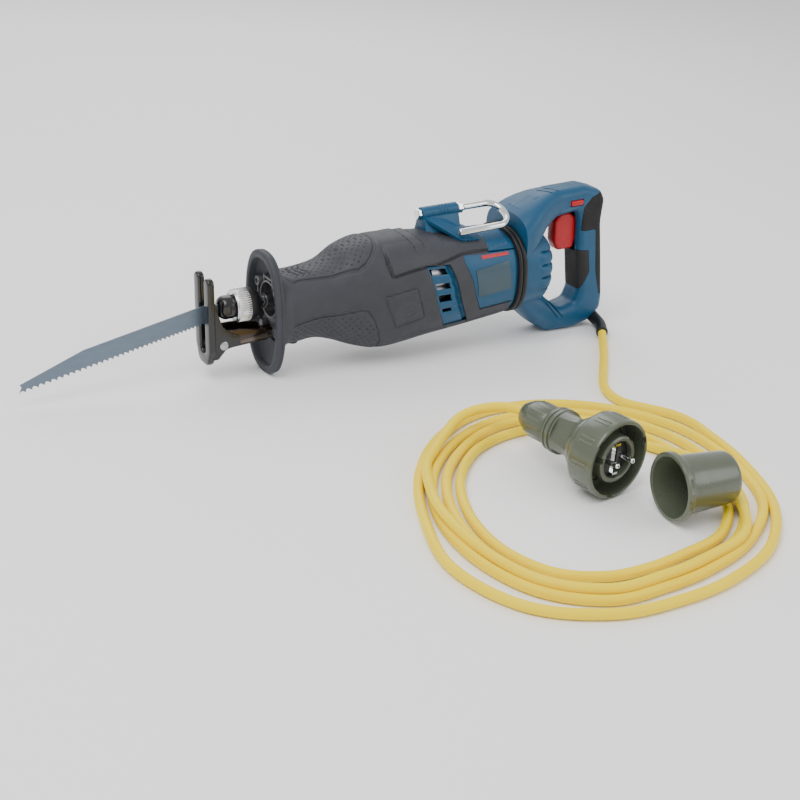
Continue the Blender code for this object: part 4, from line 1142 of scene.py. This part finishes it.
def make_blade():
    keep("saw_blade", slab([blade_outline()], -0.65, 0.65), "blade_steel", "plunger", replaces=["blade"],
         sharp=25)


def make_chuck():
    nose = [(0, 57), (10.5, 57), (10.5, 31.4), (11.4, 30.8), (11.6, 29), (11.6, 22.5), (11, 20.6),
            (9.4, 18.2), (7.4, 17.1), (5.5, 16.6), (0, 16.6)]
    body = combine(turned(nose, ORIGIN, ALONG, 64), "DIFFERENCE", box(10, 36, -0.95, 0.95, -6, 5),
                   box(14, 26, -14, -9.6, -4, 4, 0.4))
    keep("chuck_nose", body, "black_steel", "plunger", replaces=["chuck_body"], sharp=30)
    knurled = [(10.9, 46.6), (15.4, 46.6), (16.1, 46), (16.1, 34.4), (15.4, 33.8), (15.2, 33.2),
               (15.6, 32.8), (15.6, 32.2), (15, 31.6), (13, 31.6), (12.6, 32.4), (10.9, 32.4)]
    keep("chuck_knurl", turned(knurled, ORIGIN, ALONG, 288, 48, 0.42, (2, 3)), "knurled",
         "chuck_sleeve", replaces=["chuck_sleeve"], sharp=45)
    rear = [(10.9, 57), (12.6, 57), (13.4, 56.2), (15.4, 52.6), (15.8, 51.6), (15.8, 47.4), (15.3, 46.9),
            (10.9, 46.9)]
    keep("chuck_collar", turned(rear, ORIGIN, ALONG, 64), "black_rubber", "plunger",
         replaces=["chuck_rear_ring"])


SHOE_PIVOT = (16.0, -33.0)


def make_shoe():
    px, pz = SHOE_PIVOT
    half, slot, top = 17.5, 5.6, 36.5
    outline = rounded([(-half, top, 5.8), (-slot, top, 5.8), (-slot, -42, 5.5), (slot, -42, 5.5),
                       (slot, top, 5.8), (half, top, 5.8), (half, -36, 12), (10.5, -54, 9), (-10.5, -54, 9),
                       (-half, -36, 12)], 8)
    plate = slab([outline], 0, 7.0, 2.2, 4, "YZ")
    cheek = rounded([(5.0, 12, 0), (8.2, 12, 3), (11, 0, 14), (15, -13, 14), (24, -22, 8), (33, -26, 2),
                     (33, -35, 2), (18.5, -37.5, 6), (10, -46.5, 3), (5.0, -46.5, 0)], 6)
    cheeks = [slab([cheek], *sorted((side * 12.6, side * 14.8)), 0.6, 2) for side in (-1, 1)]
    plate = combine(plate, "UNION", *cheeks)
    hole = turned([(0, -20), (2.9, -20), (2.9, 20), (0, 20)], (px, 0, pz), (0, 1, 0), 32)
    keep("shoe_fork", combine(plate, "DIFFERENCE", hole), "black_steel", "shoe_plate",
         replaces=["shoe_plate"], sharp=35)
    arm_shape = rounded([(11, -26, 4), (20, -20, 6), (34, -20, 8), (64, -26, 4), (64, -36, 2), (22, -38, 3),
                         (11, -40, 5)], 6)
    bracket = slab([arm_shape], -12.2, 12.2, 0.7, 2)
    bracket = combine(bracket, "DIFFERENCE", box(5, 80, -10.0, 10.0, -34.2, -10))
    bracket = combine(bracket, "UNION", box(50, 118, -12.2, 12.2, -35.0, -31.0, 0.6))
    bracket = combine(bracket, "DIFFERENCE", hole.copy(), box(58, 86, -3.4, 3.4, -40, -25, 0.6))
    keep("shoe_arm", bracket, "brown_steel", "shoe_rail", replaces=["shoe_bracket"], sharp=35)
    head = [(0, -16), (3.2, -16), (4.3, -15.3), (4.3, -14.95), (2.6, -14.9), (2.6, 14.9), (4.3, 14.95),
            (4.3, 15.3), (3.2, 16), (0, 16)]
    keep("shoe_pin", turned(head, (px, 0, pz), (0, 1, 0), 40), "steel", "shoe_rail",
         replaces=["shoe_rivet"])


def make_case_front():
    """Bosses, ribs and screws on the front of the gear case, inside the collar."""
    parts = []
    boss = [(0, 74.4), (5.6, 74.4), (5.2, 68), (4.6, 67.4), (2.6, 67.4), (2.6, 69.5), (0, 69.5)]
    screw = [(0, 74.4), (4.8, 74.4), (4.4, 69), (3.8, 68.4), (0, 68.4)]
    for side in (-1, 1):
        parts.append(turned(boss, (0, side * 20.5, 13), ALONG, 32))
        parts.append(turned(screw, (0, side * 14, -30), ALONG, 32))
        parts.append(box(68.6, 74.4, side * 21 - 1.2, side * 21 + 1.2, -26, 8, 0.5))
        parts.append(box(69.6, 74.4, side * 9 - 1.0, side * 9 + 1.0, 17, 24, 0.4))
    parts.append(turned([(17.0, 74.6), (19.4, 74.6), (18.9, 70.2), (17.0, 70.2)], ORIGIN, ALONG, 64))
    parts.append(box(69.6, 74.4, -9, 9, 20.6, 23.0, 0.4))
    keep("gear_case_front", join(*parts), "cast_aluminium")


# ---- strain relief, plug and cap ----
RELIEF_ROUTE = [(315.4, -3, 16), (317.9, -8, 10.8), (317.3, -18, 8.6), (313.5, -31, 8), (307.7, -42, 7.5),
                (300.7, -52.5, 7)]
PLUG_FACE = (80.4, -359.0, 36.4)
PLUG_HEADING = (0.17, -0.985, 0.0)
PIN_SIDES = (-9.5, 9.5)
CAP_MOUTH = (96.9, -407.0, 30.6)
CAP_HEADING = (0.994, -0.10, 0.03)


def make_relief():
    route = smooth_path(RELIEF_ROUTE, 10)
    last = len(route) - 1
    radii = []
    for i in range(last + 1):
        rim = 0.9 * ease(i, last - 4, last - 3) * (1 - ease(i, last - 1.5, last + 0.5))
        radii.append(7.1 - 1.5 * i / last + rim)
    keep("cord_sleeve", tube(route, radii, 8), "black_rubber", space=FLOOR, replaces=["strain_relief"])


def about(mesh, place, heading, turn=0.0, side=0.0):
    """A shape built along Z, turned about it, moved aside and aimed along the heading."""
    mesh.transform(aim(place, heading) @ Matrix.Translation((side, 0, 0))
                   @ Matrix.Rotation(math.radians(turn), 4, "Z"))
    return mesh


def plug_space(mesh, turn=0.0, side=0.0):
    """From the plug's own axes (along Z) to the floor frame."""
    return about(mesh, PLUG_FACE, PLUG_HEADING, turn, side)


def plug_solid(profile, **options):
    return turned(profile, PLUG_FACE, PLUG_HEADING, **options)


def rib(radius, width, low, high, turn, tall=0.9):
    """A raised bar along the plug's axis."""
    return plug_space(box(radius - 1.0, radius + tall, -width / 2, width / 2, low, high, 0.35, 2), turn)


def make_plug():
    nut = [(5, -76.4), (16, -76.4), (17, -77.4), (17, -79), (17.5, -80), (17.4, -95.5), (16.4, -100.5),
           (14.6, -105), (11.6, -110.6), (10.6, -112), (7.6, -112), (5, -110)]
    grip = [rib(17.0, 2.6, -97, -80.6, 360 * k / 14, 0.7) for k in range(14)]
    keep("gland_nut", join(plug_solid(nut, sides=84), *grip), "olive", space=FLOOR,
         replaces=["plug_gland_nut"])

    body = [(0, -22), (26.6, -22), (27, -23), (27, -35), (25.4, -38.5), (22.2, -43), (21.2, -49),
            (20.6, -58), (20.6, -64), (19.6, -64.6), (19.6, -66), (20.8, -66.6), (20.8, -69.4), (19.4, -70),
            (19.4, -71.6), (20.4, -72.2), (20.4, -74), (19.2, -75), (15.5, -76), (0, -76)]
    flats = [plug_space(box(17.6, 30, -30, 30, -63.2, -41.5, 0.5), turn) for turn in (60, 150, 240, 330)]
    shaped = combine(plug_solid(body, sides=84), "DIFFERENCE", *flats)
    grips = [plug_space(box(16.2, 18.6, -8.5, 8.5, -61.5 + 3.2 * k, -59.9 + 3.2 * k, 0.3, 2), 330)
             for k in range(6)]
    keep("plug_shell", join(shaped, *grips), "olive", space=FLOOR, replaces=["plug_body"], sharp=32)

    collar = [(32.4, -0.4), (33, 0), (35, 0), (35.6, -0.7), (35.9, -2), (35.9, -24), (35.2, -26.5),
              (33.2, -28.8), (32, -29), (27.4, -29), (27.4, -21.5), (31.8, -21.5), (32.4, -20.5)]
    notches = [plug_space(box(29.5, 34.2, -3.4, 3.4, -5.0, 3.0, 0.5, 2), turn) for turn in (20, 140, 260)]
    shaped = combine(plug_solid(collar, sides=96), "DIFFERENCE", *notches)
    bars = [rib(35.6, 2.2, -21.5, -6.0, 36 * k + gap, 0.8) for k in range(10) for gap in (-3.4, 3.4)]
    keep("coupling_ring", join(shaped, *bars), "olive", "plug_ring", space=FLOOR, replaces=["plug_ring"],
         sharp=32)

    insert = [(0, -9), (17, -9), (17, -1.6), (17.8, -0.8), (19.6, -0.8), (21.2, -2), (21.5, -3.5),
              (21.5, -21.7), (0, -21.7)]
    keys = [plug_space(box(19.6, 24, -2.6, 2.6, -16, 3, 0.4, 2), turn) for turn in (50, 170, 290)]
    holes = [plug_space(box(side - 2.7, side + 2.7, -2.7, 2.7, -25, 0), 0) for side in PIN_SIDES]
    keep("plug_inner", combine(plug_solid(insert, sides=96), "DIFFERENCE", *keys, *holes), "olive",
         space=FLOOR, replaces=["plug_insert"], sharp=32)
    core = [(0, -8.9), (16.8, -8.9), (16.8, -6.6), (16, -6), (0, -6)]
    clearances = [plug_space(box(side - 2.6, side + 2.6, -2.6, 2.6, -12, 0), 0) for side in PIN_SIDES]
    clearances.append(plug_space(box(-3.6, 3.6, -20, 20, -12, 0)))
    keep("plug_core", combine(plug_solid(core, sides=64), "DIFFERENCE", *clearances), "dark_plastic",
         space=FLOOR)
    pin = [(0, -19.5), (2.4, -19.5), (2.4, 6.6), (2.1, 7.7), (1.4, 8.3), (0, 8.5)]
    for name, side in zip(("left", "right"), PIN_SIDES):
        place = plug_space(turned(pin, ORIGIN, UP, 40), side=side)
        keep(f"pin_{name}", place, "chrome", space=FLOOR, replaces=[f"plug_pin_{name}"])


def make_cap():
    away = -Vector(CAP_HEADING)
    profile = [(0, -55.5), (18, -55.5), (19.6, -54.4), (20.2, -52.5), (23.2, -13), (25.4, -3), (26, -0.4),
               (26.6, 0), (29, 0), (29.8, -0.8), (29.8, -5), (29.2, -5.8), (27, -6.4), (26.4, -7.4),
               (25.7, -12), (22.9, -53.4), (22.2, -56.4), (20.6, -58.3), (18.4, -59), (0, -59)]
    notches = [about(box(27.2, 34, -7, 7, -9, -2.2, 0.8, 2), CAP_MOUTH, away, turn)
               for turn in (25, 150, 262)]
    stud = about(box(24.4, 26.6, -1.8, 1.8, -18.5, -15.0, 0.7), CAP_MOUTH, away, 285)
    shell = combine(turned(profile, CAP_MOUTH, away, 96), "DIFFERENCE", *notches)
    keep("end_cap", join(shell, stud), "olive", space=FLOOR, replaces=["plug_cap"], sharp=32)


make_blade()
make_chuck()
make_shoe()
make_case_front()
make_relief()
make_plug()
make_cap()
